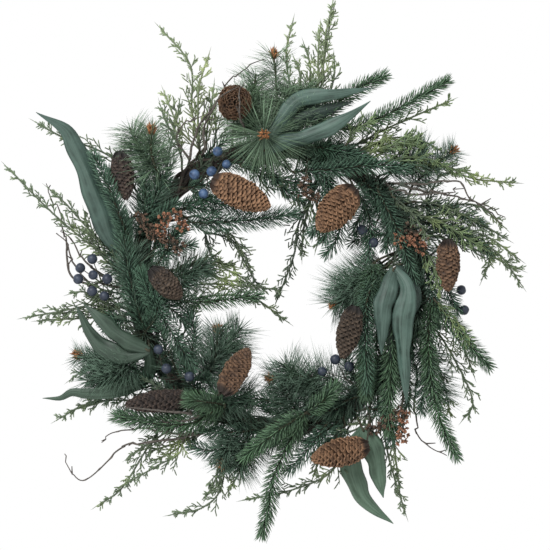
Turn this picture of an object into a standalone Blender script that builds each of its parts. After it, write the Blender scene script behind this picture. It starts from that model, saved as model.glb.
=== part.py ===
# Evergreen wreath on a ring of twisted vine, hung flat on a hook.
#
# Everything is drawn on an upright plan: X to the right, Y up, Z towards the viewer, with the
# origin where the hook carries the ring. One empty then turns the plan upright, so in the world
# the wreath faces -Y and +Z is up.
#
# The plan has a square grid, counted from its top left corner. One square is UNIT wide.

import math

import bmesh
import bpy
from mathutils import Matrix, Vector
from mathutils.bvhtree import BVHTree

UNIT = 0.00112
CENTRE_ACROSS = 277.0
CENTRE_DOWN = 287.0
MILLIMETRE = 0.001

RING_RADIUS = 0.156
VINE_RADIUS = 0.0044
VINE_OFFSET = 0.0059
VINE_COUNT = 3
VINE_TURNS = 6
VINE_POINTS = 44
HOOK_RISE = RING_RADIUS - VINE_OFFSET - VINE_RADIUS

SEAT_GAP = 0.00045
SEAT_REACH = 0.006
STEM_RADIUS = 0.0013
WIRE_RADIUS = 0.0008
BERRY_RADIUS = 0.0055
LUMP_STEP = 0.014


# Start from an empty scene


def clear_scene():
    for item in list(bpy.data.objects):
        bpy.data.objects.remove(item, do_unlink=True)


def new_collection(name, hidden):
    collection = bpy.data.collections.new(name)
    collection.hide_render = hidden
    bpy.context.scene.collection.children.link(collection)
    return collection


clear_scene()
PARTS = new_collection("christmas_wreath", False)
GUIDES = new_collection("guides", True)


def hang_point():
    empty = bpy.data.objects.new("hook_seat", None)
    empty.empty_display_size = 0.02
    empty.rotation_euler = (math.radians(90.0), 0.0, 0.0)
    PARTS.objects.link(empty)
    return empty


HANGER = hang_point()


# Materials


def material(name, colour, roughness):
    made = bpy.data.materials.new(name)
    made.use_nodes = True
    shader = made.node_tree.nodes["Principled BSDF"]
    shader.inputs["Base Color"].default_value = (*colour, 1.0)
    shader.inputs["Roughness"].default_value = roughness
    shader.inputs["Metallic"].default_value = 0.0
    return made


LOOKS = {
    "vine": ((0.060, 0.038, 0.030), 0.85),
    "spruce": ((0.030, 0.085, 0.045), 0.60),
    "pine": ((0.035, 0.095, 0.065), 0.55),
    "cedar": ((0.075, 0.110, 0.045), 0.65),
    "leaf": ((0.060, 0.120, 0.100), 0.55),
    "cone": ((0.300, 0.135, 0.065), 0.75),
    "seed": ((0.260, 0.095, 0.060), 0.80),
    "berry": ((0.025, 0.045, 0.095), 0.50),
    "twig": ((0.140, 0.110, 0.090), 0.85),
}


# Places on the plan


def at(across, down, front):
    """A plan point: grid squares across and down, and millimetres in front of the ring's middle."""
    x = (across - CENTRE_ACROSS) * UNIT
    y = (CENTRE_DOWN - down) * UNIT - HOOK_RISE
    return Vector((x, y, front * MILLIMETRE))


def vine_offset(strand, angle):
    """How far a strand's middle lies from the ring's centreline, at an angle round the ring."""
    turn = VINE_TURNS * angle + strand * 2.0 * math.pi / VINE_COUNT
    outward = Vector((math.cos(angle), math.sin(angle), 0.0))
    frontward = Vector((0.0, 0.0, 1.0))
    return VINE_OFFSET * (math.cos(turn) * outward + math.sin(turn) * frontward)


def vine_point(strand, angle):
    middle = Vector((RING_RADIUS * math.cos(angle), RING_RADIUS * math.sin(angle) - HOOK_RISE, 0.0))
    return middle + vine_offset(strand, angle)


def seat(across, down, lean):
    """Two points where a stem stands on the vine: lean 0 is its front, 90 its outer side, -90 its inner side."""
    angle = math.atan2(CENTRE_DOWN - down, across - CENTRE_ACROSS)
    outward = Vector((math.cos(angle), math.sin(angle), 0.0))
    side = math.sin(math.radians(lean)) * outward
    way = side + math.cos(math.radians(lean)) * Vector((0.0, 0.0, 1.0))
    strand = max(range(VINE_COUNT), key=lambda index: vine_offset(index, angle).dot(way))
    above = vine_point(strand, angle) + way * 4.0 * VINE_RADIUS
    surface = BARK[strand].ray_cast(above, -way)[0]
    foot = surface + way * SEAT_GAP
    return [foot, foot + way * SEAT_REACH]


def smooth_route(points, step):
    """A route through the points, with its own points about one step apart."""
    ends = [2.0 * points[0] - points[1], *points, 2.0 * points[-1] - points[-2]]
    route = [points[0].copy()]
    for first, a, b, last in zip(ends, ends[1:], ends[2:], ends[3:]):
        count = max(1, round((b - a).length / step))
        for index in range(1, count + 1):
            t = index / count
            curve = 2.0 * a + (b - first) * t
            curve += (2.0 * first - 5.0 * a + 4.0 * b - last) * t * t
            curve += (3.0 * a - first - 3.0 * b + last) * t * t * t
            route.append(0.5 * curve)
    return route


# Shapes


def flat_profile(name, thinness):
    """The diamond section that a leaf blade or a flat sprig sweeps along its rib."""
    data = bpy.data.curves.new(name, "CURVE")
    data.dimensions = "2D"
    data.fill_mode = "NONE"
    spline = data.splines.new("POLY")
    corners = [(1.0, 0.0), (0.0, thinness), (-1.0, 0.0), (0.0, -thinness)]
    spline.points.add(len(corners) - 1)
    for point, (x, y) in zip(spline.points, corners):
        point.co = (x, y, 0.0, 1.0)
    spline.use_cyclic_u = True
    guide = bpy.data.objects.new(name, data)
    guide.hide_render = True
    guide.display_type = "WIRE"
    GUIDES.objects.link(guide)
    return guide


SPRIG_SECTION = flat_profile("sprig_section", 0.30)
BLADE_SECTION = flat_profile("blade_section", 0.13)


def swept(points, radii, section=None, resolution=1, closed=False):
    """One closed mesh object: a round or flat section swept along the points."""
    data = bpy.data.curves.new("sweep", "CURVE")
    data.dimensions = "3D"
    data.use_fill_caps = not closed
    data.twist_mode = "MINIMUM"
    if section is None:
        data.bevel_depth = 1.0
        data.bevel_resolution = resolution
    else:
        data.bevel_mode = "OBJECT"
        data.bevel_object = section
        data.twist_mode = "Z_UP"
    spline = data.splines.new("POLY")
    spline.points.add(len(points) - 1)
    for point, place, radius in zip(spline.points, points, radii):
        point.co = (*place, 1.0)
        point.radius = radius
    spline.use_cyclic_u = closed
    return meshed(data)


def meshed(data):
    curve = bpy.data.objects.new("sweep", data)
    GUIDES.objects.link(curve)
    bpy.context.view_layer.update()
    depsgraph = bpy.context.evaluated_depsgraph_get()
    mesh = bpy.data.meshes.new_from_object(curve.evaluated_get(depsgraph))
    bpy.data.objects.remove(curve, do_unlink=True)
    return guide_object(mesh)


def guide_object(mesh):
    shape = bmesh.new()
    shape.from_mesh(mesh)
    bmesh.ops.remove_doubles(shape, verts=shape.verts, dist=0.000002)
    bmesh.ops.recalc_face_normals(shape, faces=shape.faces)
    shape.to_mesh(mesh)
    shape.free()
    made = bpy.data.objects.new("piece", mesh)
    made.hide_render = True
    made.display_type = "WIRE"
    GUIDES.objects.link(made)
    return made


def joined(pieces):
    """One solid out of pieces that overlap each other."""
    whole = pieces[0]
    for piece in pieces[1:]:
        union = whole.modifiers.new("union", "BOOLEAN")
        union.operation = "UNION"
        union.solver = "EXACT"
        union.object = piece
        bpy.context.view_layer.update()
        depsgraph = bpy.context.evaluated_depsgraph_get()
        mesh = bpy.data.meshes.new_from_object(whole.evaluated_get(depsgraph))
        bpy.data.objects.remove(whole, do_unlink=True)
        bpy.data.objects.remove(piece, do_unlink=True)
        whole = guide_object(mesh)
    return whole


def finish(name, look, pieces):
    """Joins the pieces, names them and hangs them on the empty."""
    made = joined(pieces)
    GUIDES.objects.unlink(made)
    PARTS.objects.link(made)
    made.name = name
    made.data.name = name
    made.hide_render = False
    made.display_type = "TEXTURED"
    made.parent = HANGER
    colour, roughness = LOOKS[look]
    made.data.materials.clear()
    made.data.materials.append(material(name, colour, roughness))
    made.data.shade_smooth()
    made.data.set_sharp_from_angle(angle=math.radians(50.0))
    return made


# The vine ring

BARK = []


def vine(index):
    points = []
    for step in range(VINE_POINTS):
        angle = 2.0 * math.pi * step / VINE_POINTS
        points.append(vine_point(index, angle))
    radii = [VINE_RADIUS] * VINE_POINTS
    made = finish(f"vine_{index + 1}", "vine", [swept(points, radii, resolution=2, closed=True)])
    shape = bmesh.new()
    shape.from_mesh(made.data)
    BARK.append(BVHTree.FromBMesh(shape))
    shape.free()


for strand_index in range(VINE_COUNT):
    vine(strand_index)


# Stems and branches


def stem(points, radius=STEM_RADIUS, step=0.015):
    route = smooth_route(points, step)
    return swept(route, [radius] * len(route), resolution=0)


def brush(points, low, high, step=LUMP_STEP):
    """A branch of needles as one lumpy spindle, thin at its tip."""
    route = smooth_route(points, step)
    count = len(route) - 1
    radii = []
    for index in range(count + 1):
        fade = 1.0 - 0.65 * (index / count) ** 2
        radii.append((high if index % 2 else low) * fade)
    radii[-1] = 0.0007
    return swept(route, radii)


def sprig(points, low, high, step=0.013):
    """A flat scale-leaved sprig as one serrated blade."""
    route = smooth_route(points, step)
    count = len(route) - 1
    radii = []
    for index in range(count + 1):
        fade = 1.0 - 0.6 * (index / count)
        radii.append((high if index % 2 else low) * fade)
    radii[-1] = 0.0012
    return swept(route, radii, section=SPRIG_SECTION)


def blade(points, half_width, step=0.014):
    """A long leaf, widest a little below its middle."""
    route = smooth_route(points, step)
    count = len(route) - 1
    radii = []
    for index in range(count + 1):
        t = 0.04 + 0.92 * index / count
        radii.append(half_width * math.sin(math.pi * t**0.85) ** 0.8)
    return swept(route, radii, section=BLADE_SECTION)


def pick_pieces(foot, branches, leafy):
    """The stem from the vine to the fork, then each branch from the fork on."""
    fork = at(*branches[0][0])
    pieces = [stem([*seat(*foot), fork, fork.lerp(at(*branches[0][1]), 0.25)])]
    for branch in branches:
        points = [fork]
        for place in branch[1:]:
            points.append(at(*place))
        pieces.append(leafy(points))
    return pieces


# Spruce: short needles all round the branch

SPRUCES = {
    "spruce_top_right": (
        (305, 153, 20),
        [
            [(312, 132, 18), (345, 92, 20), (392, 73, 22)],
            [(312, 132, 18), (360, 119, 26), (405, 100, 26), (453, 79, 20)],
        ],
    ),
    "spruce_top": ((282, 148, -20), [[(292, 172, 18), (330, 170, 22), (370, 167, 28), (410, 172, 28)]]),
    "spruce_inner_top": ((170, 200, 0), [[(185, 222, 24), (215, 223, 30), (260, 219, 32), (300, 213, 26)]]),
    "spruce_inner_left": ((140, 300, -30), [[(172, 300, 16), (205, 302, 22), (235, 298, 24), (265, 295, 20)]]),
    "spruce_left": (
        (142, 322, 20),
        [
            [(146, 332, 26), (134, 292, 34), (126, 250, 34), (122, 212, 30)],
            [(146, 332, 26), (158, 312, 42), (149, 290, 42), (140, 268, 37)],
        ],
    ),
    "spruce_right": (
        (412, 295, 40),
        [
            [(430, 300, 22), (450, 314, 28), (475, 342, 28), (497, 368, 22)],
            [(430, 300, 22), (428, 350, 34), (444, 410, 34), (460, 462, 26)],
        ],
    ),
    "spruce_inner_right": (
        (398, 250, -20),
        [
            [(374, 262, 30), (366, 300, 36), (365, 350, 38), (366, 400, 34)],
            [(374, 262, 30), (392, 305, 34), (390, 370, 36), (388, 436, 34)],
        ],
    ),
    "spruce_bottom": (
        (318, 420, 0),
        [
            [(306, 412, 36), (288, 465, 36), (274, 505, 34), (262, 540, 28)],
            [(306, 412, 36), (275, 432, 48), (240, 460, 40)],
            [(306, 412, 36), (325, 398, 44), (338, 380, 40)],
        ],
    ),
    "spruce_bottom_left": (
        (225, 414, 0),
        [
            [(225, 404, 34), (205, 401, 52), (183, 398, 56)],
            [(225, 404, 34), (190, 423, 34), (150, 422, 32), (112, 415, 26)],
        ],
    ),
}


def spruce_branch(points):
    return brush(points, 0.0024, 0.0062)


for title, (foot_place, branch_places) in SPRUCES.items():
    finish(title, "spruce", pick_pieces(foot_place, branch_places, spruce_branch))


# Pine: long needles and a brown bud at the end

PINES = {
    "pine_top_left": ((168, 188, 30), [[(160, 178, 24), (152, 155, 34), (152, 128, 34)]]),
    "pine_top": (
        (268, 150, 60),
        [
            [(270, 142, 14), (276, 110, 16), (276, 80, 18), (273, 52, 16)],
            [(270, 142, 14), (265, 136, 36), (264, 135, 58)],
        ],
    ),
    "pine_right_top": ((398, 212, 60), [[(412, 186, 14), (432, 168, 18), (455, 149, 18)]]),
    "pine_inner_right": ((404, 268, -50), [[(384, 276, 18), (372, 285, 20), (350, 302, 22), (330, 314, 22)]]),
    "pine_inner_bottom": ((356, 400, -50), [[(346, 388, 18), (330, 378, 20), (298, 376, 24), (268, 378, 24)]]),
    "pine_inner_left": ((180, 385, -40), [[(202, 380, 18), (214, 365, 22), (217, 345, 24), (218, 327, 24)]]),
    "pine_left": ((150, 345, 60), [[(138, 352, 14), (118, 358, 18), (98, 358, 20), (72, 354, 18)]]),
    "pine_bottom": ((240, 421, 60), [[(228, 436, 20), (224, 450, 24), (219, 466, 26)]]),
}


def pine_branch(points):
    return brush(points, 0.0026, 0.0068, step=0.013)


for title, (foot_place, branch_places) in PINES.items():
    finish(title, "pine", pick_pieces(foot_place, branch_places, pine_branch))


# Cedar: flat sprigs of tiny scale leaves

CEDARS = {
    "cedar_top_left": ((155, 220, 60), [[(146, 208, 12), (115, 160, 13), (62, 137, 16), (35, 122, 12)]]),
    "cedar_left": (
        (138, 276, 60),
        [
            [(128, 275, 12), (106, 256, 18), (58, 216, 18), (3, 161, 10)],
            [(128, 275, 12), (100, 300, 13), (72, 310, 18), (19, 319, 12)],
        ],
    ),
    "cedar_bottom_left": (
        (186, 392, 60),
        [
            [(176, 404, 12), (145, 452, 16), (122, 488, 16), (97, 506, 12)],
            [(176, 404, 12), (182, 448, 24), (158, 465, 24), (125, 484, 20)],
            [(176, 404, 12), (118, 400, 9), (85, 405, 10), (57, 420, 10)],
        ],
    ),
    "cedar_bottom": ((222, 413, 70), [[(226, 432, 12), (222, 485, 14), (203, 507, 14), (170, 515, 10)]]),
    "cedar_bottom_right": ((345, 408, 70), [[(340, 442, 14), (330, 472, 22), (290, 490, 24), (243, 500, 18)]]),
    "cedar_right_low": ((372, 390, 60), [[(380, 410, 12), (386, 445, 18), (392, 470, 20), (406, 515, 14)]]),
    "cedar_right_mid": ((410, 310, 75), [[(424, 316, 10), (446, 345, 14), (472, 398, 16), (463, 420, 12)]]),
    "cedar_right": (
        (407, 240, 70),
        [
            [(422, 232, 14), (448, 226, 24), (485, 236, 24), (520, 260, 16)],
            [(422, 232, 14), (452, 252, 20), (488, 268, 18), (525, 291, 12)],
            [(422, 232, 14), (448, 208, 14), (478, 206, 14), (505, 228, 10)],
            [(422, 232, 14), (440, 176, 10), (480, 180, 10), (517, 183, 6)],
        ],
    ),
    "cedar_top_right": (
        (335, 160, 70),
        [
            [(348, 150, 10), (380, 132, 14), (415, 116, 14), (452, 100, 10)],
            [(348, 150, 10), (375, 152, 22), (400, 148, 24), (422, 134, 20)],
        ],
    ),
    "cedar_top": (
        (296, 150, 75),
        [
            [(300, 128, 10), (320, 90, 10), (325, 40, 10), (333, 1, 8)],
            [(300, 128, 10), (290, 90, 8), (288, 45, 8), (297, 8, 6)],
        ],
    ),
    "cedar_upper_left": (
        (205, 170, 70),
        [
            [(200, 150, 10), (192, 110, 10), (190, 65, 10), (159, 27, 8)],
            [(200, 150, 10), (204, 112, 16), (207, 90, 18), (206, 66, 14)],
            [(200, 150, 10), (176, 130, 16), (168, 112, 18), (160, 98, 14)],
        ],
    ),
    "cedar_inner_left": (
        (178, 212, -50),
        [
            [(205, 232, 12), (232, 240, 14), (246, 264, 14), (258, 286, 12)],
            [(205, 232, 12), (212, 256, 16), (226, 264, 18), (237, 262, 16)],
        ],
    ),
    "cedar_inner_top": ((322, 158, -60), [[(312, 196, 14), (298, 226, 16), (294, 255, 16), (276, 303, 12)]]),
}


def cedar_branch(points):
    return sprig(points, 0.0018, 0.0095)


for title, (foot_place, branch_places) in CEDARS.items():
    finish(title, "cedar", pick_pieces(foot_place, branch_places, cedar_branch))


# Long leaves: each spray is a stem with its blades

LEAVES = {
    "leaf_spray_top_left": ((140, 262, 40), [[(130, 254, 14), (108, 240, 24), (80, 172, 38), (37, 114, 34)]]),
    "leaf_spray_top": (
        (258, 147, 0),
        [
            [(262, 152, 40), (292, 138, 50), (332, 127, 52), (370, 102, 46)],
            [(262, 152, 40), (282, 134, 40), (296, 108, 40), (328, 95, 40), (373, 90, 36)],
        ],
    ),
    "leaf_spray_right": (
        (404, 258, 20),
        [
            [(394, 268, 44), (378, 300, 56), (376, 330, 58), (378, 350, 54)],
            [(394, 268, 44), (403, 305, 52), (406, 345, 54), (409, 394, 48)],
        ],
    ),
    "leaf_spray_bottom": (
        (350, 404, 30),
        [
            [(362, 428, 34), (374, 450, 34), (380, 472, 32), (382, 496, 28)],
            [(362, 428, 34), (356, 466, 28), (368, 500, 28), (393, 523, 22)],
        ],
    ),
    "leaf_spray_left": (
        (148, 336, 10),
        [
            [(150, 350, 44), (122, 338, 50), (96, 322, 50), (79, 302, 44)],
            [(150, 350, 44), (128, 356, 42), (100, 338, 40), (76, 309, 36)],
            [(150, 350, 44), (142, 378, 26), (90, 391, 22), (43, 397, 16)],
        ],
    ),
}


def leaf_blade(points):
    return blade(points, 0.0105)


for title, (foot_place, branch_places) in LEAVES.items():
    finish(title, "leaf", pick_pieces(foot_place, branch_places, leaf_blade))


# Pine cones: a turned body with rows of scales, on a wire stem

CONE_ROWS = 5
CONE_STEPS = 10

CONES = {
    "cone_top": ((228, 160, 0), (218, 183, 58), (270, 208, 62), 16.0),
    "cone_top_right": ((340, 166, -60), (350, 193, 58), (318, 231, 64), 17.0),
    "cone_upper_left": ((158, 206, 45), (121, 158, 30), (127, 200, 38), 11.0),
    "cone_left": ((141, 262, -60), (156, 273, 54), (182, 298, 52), 11.5),
    "cone_inner_left": ((205, 398, -20), (226, 388, 58), (249, 348, 50), 12.5),
    "cone_inner_right": ((400, 340, -40), (353, 312, 62), (342, 358, 64), 12.0),
    "cone_bottom": ((365, 391, 20), (362, 446, 52), (311, 458, 58), 14.0),
    "cone_right": ((416, 262, 50), (447, 246, 40), (447, 291, 42), 12.0),
    "cone_bottom_left": ((196, 402, 20), (184, 398, 38), (126, 404, 36), 11.0),
    "cone_top_end_on": ((236, 155, 50), (235, 104, 22), (235, 103, 66), 17.0),
}


def cone_profile(length, radius):
    """Points down the outer side, from the tip to the wide end."""
    profile = [(0.0, length)]
    count = 2 * CONE_ROWS
    for index in range(1, count):
        t = index / count
        swell = math.sin(math.pi * (0.06 + 0.62 * t)) ** 0.8
        edge = 1.0 if index % 2 else 0.86
        profile.append((radius * swell * edge, length * (1.0 - t)))
    profile.append((radius * 0.70, length * 0.02))
    profile.append((0.0, 0.0))
    return profile


def turned_cone(wide, narrow, radius):
    profile = cone_profile((narrow - wide).length, radius)
    shape = bmesh.new()
    corners = []
    for x, z in profile:
        corners.append(shape.verts.new((x, 0.0, z)))
    for first, second in zip(corners, corners[1:]):
        shape.edges.new((first, second))
    mesh = bpy.data.meshes.new("cone_profile")
    shape.to_mesh(mesh)
    shape.free()
    made = bpy.data.objects.new("cone_profile", mesh)
    GUIDES.objects.link(made)
    screw = made.modifiers.new("screw", "SCREW")
    screw.axis = "Z"
    screw.angle = 2.0 * math.pi
    screw.steps = CONE_STEPS
    screw.render_steps = CONE_STEPS
    screw.use_merge_vertices = True
    screw.merge_threshold = 0.00001
    bpy.context.view_layer.update()
    depsgraph = bpy.context.evaluated_depsgraph_get()
    turned = bpy.data.meshes.new_from_object(made.evaluated_get(depsgraph))
    bpy.data.objects.remove(made, do_unlink=True)
    aim = (narrow - wide).to_track_quat("Z", "Y").to_matrix().to_4x4()
    turned.transform(Matrix.Translation(wide) @ aim)
    return guide_object(turned)


def cone(title, foot_place, wide_place, narrow_place, half_width):
    wide = at(*wide_place)
    narrow = at(*narrow_place)
    along = (narrow - wide).normalized()
    body = turned_cone(wide, narrow, half_width * UNIT)
    foot, lift = seat(*foot_place)
    wire = stem([foot, lift, wide - along * 0.004, wide + along * 0.008], step=0.02)
    finish(title, "cone", [body, wire])


for title, (foot_place, wide_place, narrow_place, half_width) in CONES.items():
    cone(title, foot_place, wide_place, narrow_place, half_width)


# Berries: round fruits on thin wires that meet in one stem

BERRIES = {
    "berries_top": (
        (212, 165, 10),
        (208, 178, 34),
        [(218, 152, 38), (212, 172, 40), (227, 165, 36), (195, 175, 44), (204, 194, 44)],
    ),
    "berries_left": (
        (136, 292, 0),
        (104, 284, 30),
        [(93, 259, 32), (81, 268, 30), (79, 279, 34), (94, 275, 40), (108, 279, 38), (93, 291, 38), (105, 296, 34)],
    ),
    "berries_right": ((414, 280, 60), (438, 296, 12), [(461, 290, 12), (464, 310, 12)]),
    "berries_bottom": (
        (362, 388, -30),
        (345, 378, 34),
        [(335, 359, 36), (322, 371, 38), (349, 366, 34)],
    ),
}


def berry(place):
    shape = bmesh.new()
    bmesh.ops.create_uvsphere(shape, u_segments=8, v_segments=6, radius=BERRY_RADIUS)
    mesh = bpy.data.meshes.new("berry")
    shape.to_mesh(mesh)
    shape.free()
    mesh.transform(Matrix.Translation(place))
    return guide_object(mesh)


for title, (foot_place, knot_place, berry_places) in BERRIES.items():
    knot = at(*knot_place)
    foot, lift = seat(*foot_place)
    pieces = [stem([foot, lift, knot], step=0.02)]
    for berry_place in berry_places:
        fruit = at(*berry_place)
        pieces.append(swept([knot, fruit], [WIRE_RADIUS, WIRE_RADIUS], resolution=0))
        pieces.append(berry(fruit))
    finish(title, "berry", pieces)


# Rust coloured seed heads: lumpy spikes on a short stem

SEEDS = {
    "seeds_left": (
        (152, 248, 20),
        [
            [(160, 236, 36), (146, 226, 40), (138, 214, 38)],
            [(160, 236, 36), (166, 222, 44), (180, 216, 46), (190, 230, 44)],
            [(160, 236, 36), (170, 246, 42), (184, 254, 42)],
        ],
    ),
    "seeds_top": ((308, 156, -10), [[(306, 176, 38), (304, 190, 40), (316, 196, 38)]]),
    "seeds_right": (
        (408, 250, 0),
        [
            [(396, 236, 34), (408, 230, 38), (422, 236, 36)],
            [(396, 236, 34), (404, 244, 44), (420, 250, 44)],
        ],
    ),
    "seeds_bottom_right": ((398, 358, 60), [[(401, 408, 40), (403, 426, 42), (402, 442, 38)]]),
}


def seed_spike(points):
    return brush(points, 0.0026, 0.0056, step=0.0065)


for title, (foot_place, branch_places) in SEEDS.items():
    finish(title, "seed", pick_pieces(foot_place, branch_places, seed_spike))


# Bare twigs

TWIGS = {
    "twig_left": (
        (136, 268, 100),
        [
            [(92, 286, 2), (70, 272, 4), (64, 228, 4), (47, 182, 2)],
            [(92, 286, 2), (72, 262, 10), (66, 244, 10), (55, 234, 8)],
        ],
    ),
    "twig_bottom_left": (
        (206, 408, 50),
        [
            [(200, 434, 26), (160, 430, 32), (118, 431, 26), (101, 441, 22)],
            [(200, 434, 26), (144, 442, 26), (118, 452, 10), (84, 480, 4), (64, 456, 0)],
        ],
    ),
    "twig_right": (
        (382, 190, 60),
        [
            [(398, 184, 26), (440, 196, 30), (480, 204, 26), (500, 224, 20)],
            [(398, 184, 26), (430, 184, 34), (458, 182, 34), (470, 199, 30), (505, 214, 26)],
        ],
    ),
    "twig_top": (
        (196, 176, 50),
        [
            [(190, 160, 24), (196, 135, 26), (214, 106, 24), (232, 82, 20), (272, 55, 24)],
            [(190, 160, 24), (178, 140, 30), (186, 122, 30), (204, 112, 34)],
        ],
    ),
}


def bare_twig(points):
    route = smooth_route(points, 0.014)
    count = len(route) - 1
    radii = []
    for index in range(count + 1):
        radii.append(0.0015 - 0.0009 * index / count)
    return swept(route, radii, resolution=0)


for title, (foot_place, branch_places) in TWIGS.items():
    finish(title, "twig", pick_pieces(foot_place, branch_places, bare_twig))
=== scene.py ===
# %% [markdown]
# # An evergreen wreath, hung flat
#
# The real thing is a ring of twisted vine with many picks wired to it: spruce, long needled pine,
# cedar, cloth leaves, pine cones, berries, seed heads and bare twigs. Almost all of it is small
# parts repeated along a curve, so the lesson is about curves, and about placing thousands of
# needles with arrays instead of one at a time.

import math
from functools import partial

import bpy
import numpy as np
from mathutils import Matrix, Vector


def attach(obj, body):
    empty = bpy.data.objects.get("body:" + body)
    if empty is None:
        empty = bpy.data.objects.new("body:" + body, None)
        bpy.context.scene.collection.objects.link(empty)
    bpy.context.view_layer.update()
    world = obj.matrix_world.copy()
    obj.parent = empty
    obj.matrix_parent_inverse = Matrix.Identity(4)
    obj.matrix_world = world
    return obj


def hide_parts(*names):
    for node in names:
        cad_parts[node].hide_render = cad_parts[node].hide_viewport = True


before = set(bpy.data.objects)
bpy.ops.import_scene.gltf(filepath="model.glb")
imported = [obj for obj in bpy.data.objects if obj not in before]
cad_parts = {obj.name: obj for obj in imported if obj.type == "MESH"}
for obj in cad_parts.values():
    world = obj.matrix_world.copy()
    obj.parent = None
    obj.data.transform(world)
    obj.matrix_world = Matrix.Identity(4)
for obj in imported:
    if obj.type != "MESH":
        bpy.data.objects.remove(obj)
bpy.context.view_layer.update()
print("nodes to dress:", len(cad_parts))

# %% [markdown]
# ## Where things are
#
# The wreath is drawn on a square grid, counted from its top left corner, and one square is 1.12 mm.
# A third number says how many millimetres a point stands in front of the ring's middle. One
# function turns the three into metres, so every pick can be written as a few grid points. The
# origin is where the hook carries the top of the ring, so the ring's middle lies below it.

# %% The plan
FULL_TURN = 2.0 * math.pi
UNIT = 0.00112
MILLIMETRE = 0.001
CENTRE_ACROSS = 277.0
CENTRE_DOWN = 287.0
RING_RADIUS = 0.156
VINE_RADIUS = 0.0044
VINE_OFFSET = 0.0059
VINE_COUNT = 3
VINE_TURNS = 6
SEAT_LENGTH = 0.006
HOOK_RISE = RING_RADIUS - VINE_OFFSET - VINE_RADIUS
FRONT = np.array([0.0, -1.0, 0.0])
UP = np.array([0.0, 0.0, 1.0])


def plan(across, down, front):
    """Grid squares across and down, and millimetres in front, as metres."""
    x = (across - CENTRE_ACROSS) * UNIT
    z = (CENTRE_DOWN - down) * UNIT - HOOK_RISE
    return np.array([x, -front * MILLIMETRE, z])


def outward(angle):
    """The direction away from the ring's middle, at an angle round the ring."""
    return np.array([math.cos(angle), 0.0, math.sin(angle)])


def ring_point(angle, radius=RING_RADIUS):
    """A place on the ring's middle line, or on a wider or narrower ring round the same middle."""
    return radius * outward(angle) - HOOK_RISE * UP


print("ring radius in grid squares:", round(RING_RADIUS / UNIT))

# %% [markdown]
# ## Where a stem starts
#
# A florist wires each stem to the nearest vine strand, and because the strands twist, which one
# that is changes round the ring. A lean of 0 degrees starts a stem on the ring's front, 90 on its
# outer side and -90 on its inner side, and the strand that lies furthest that way carries it.

# %% A seat on the vine


def vine_offset(strand, angle):
    """How far a strand lies from the middle of the bundle, at an angle round the ring."""
    turn = VINE_TURNS * angle + strand * FULL_TURN / VINE_COUNT
    return VINE_OFFSET * (math.cos(turn) * outward(angle) + math.sin(turn) * FRONT)


def seat(across, down, lean):
    """Two points where a stem leaves the vine, nearest to a grid place and at a lean."""
    angle = math.atan2(CENTRE_DOWN - down, across - CENTRE_ACROSS)
    way = math.sin(math.radians(lean)) * outward(angle) + math.cos(math.radians(lean)) * FRONT
    strand = max(range(VINE_COUNT), key=lambda index: vine_offset(index, angle) @ way)
    foot = ring_point(angle) + vine_offset(strand, angle) + way * VINE_RADIUS
    return [foot, foot + way * SEAT_LENGTH]


print("a stem at the ring's top starts at", seat(CENTRE_ACROSS, 0, 0)[0].round(3))

# %% [markdown]
# ## A smooth walk along a few points
#
# A stem is given by two to eight points. Straight pieces between them would look broken, and a
# curve object is slow to ask for thousands of needle places. So a Catmull-Rom curve, which passes
# through all its points, is worked out here, and then walked in even steps of a few millimetres.

# %% Smooth routes
CURVE_STEPS = 16


def walk(points, step):
    """Evenly spaced points on a smooth curve through the given ones."""
    points = [np.asarray(point, float) for point in points]
    ends = [2.0 * points[0] - points[1], *points, 2.0 * points[-1] - points[-2]]
    fine = [points[0]]
    for first, a, b, last in zip(ends, ends[1:], ends[2:], ends[3:]):
        for t in np.linspace(0.0, 1.0, CURVE_STEPS + 1)[1:]:
            curve = 2.0 * a + (b - first) * t
            curve = curve + (2.0 * first - 5.0 * a + 4.0 * b - last) * t * t
            curve = curve + (3.0 * a - first - 3.0 * b + last) * t * t * t
            fine.append(0.5 * curve)
    fine = np.array(fine)
    gone = np.concatenate([[0.0], np.cumsum(np.linalg.norm(np.diff(fine, axis=0), axis=1))])
    count = max(3, int(gone[-1] / step) + 1)
    stops = np.linspace(0.0, gone[-1], count)
    return np.stack([np.interp(stops, gone, fine[:, axis]) for axis in range(3)], axis=1)


elbow = walk([plan(0, 0, 0), plan(40, 0, 0), plan(40, 40, 0)], 0.005)
print("a walk round a corner, in steps of 5 mm, has", len(elbow), "points")

# %% [markdown]
# ## Directions along a route
#
# A needle needs to know which way its stem runs and which way is out. Every point of a route has
# three directions: along it, towards the front and to its side. The last two are carried from
# point to point, turning as little as possible, so the foliage on a bent stem doesn't spin.

# %% Directions along a route
NEARLY_THE_SAME_WAY = 0.85
SHORTEST = 1e-9


def unit(vectors):
    """The same directions with length one."""
    return vectors / np.maximum(np.linalg.norm(vectors, axis=-1, keepdims=True), SHORTEST)


def directions(route):
    """Along the route, towards the front, and to its side, turning as little as possible."""
    along = unit(np.gradient(route, axis=0))
    last = FRONT if abs(along[0] @ FRONT) < NEARLY_THE_SAME_WAY else UP
    fronts = []
    for way in along:
        last = last - (last @ way) * way
        last = last / np.linalg.norm(last)
        fronts.append(last)
    fronts = np.array(fronts)
    return along, fronts, np.cross(along, fronts)


def turned(angles, first, second):
    """The first direction swung by each angle towards the second."""
    return np.cos(angles)[..., None] * first + np.sin(angles)[..., None] * second


def ring_angles(sides):
    """The angles at which the corners of a round section stand."""
    return np.arange(sides) * FULL_TURN / sides


print("four ways out from a stem that runs across:", turned(ring_angles(4), FRONT, UP).round(1).tolist())

# %% [markdown]
# ## One pile of mesh for each piece
#
# A spray has hundreds of needles. Making each one an object would be slow, so each piece collects
# arrays of points and faces in a pile and becomes one mesh at the end. Every point also carries
# three numbers that the materials read: its tone, how far along its needle or leaf it lies, and how
# far across.

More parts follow.
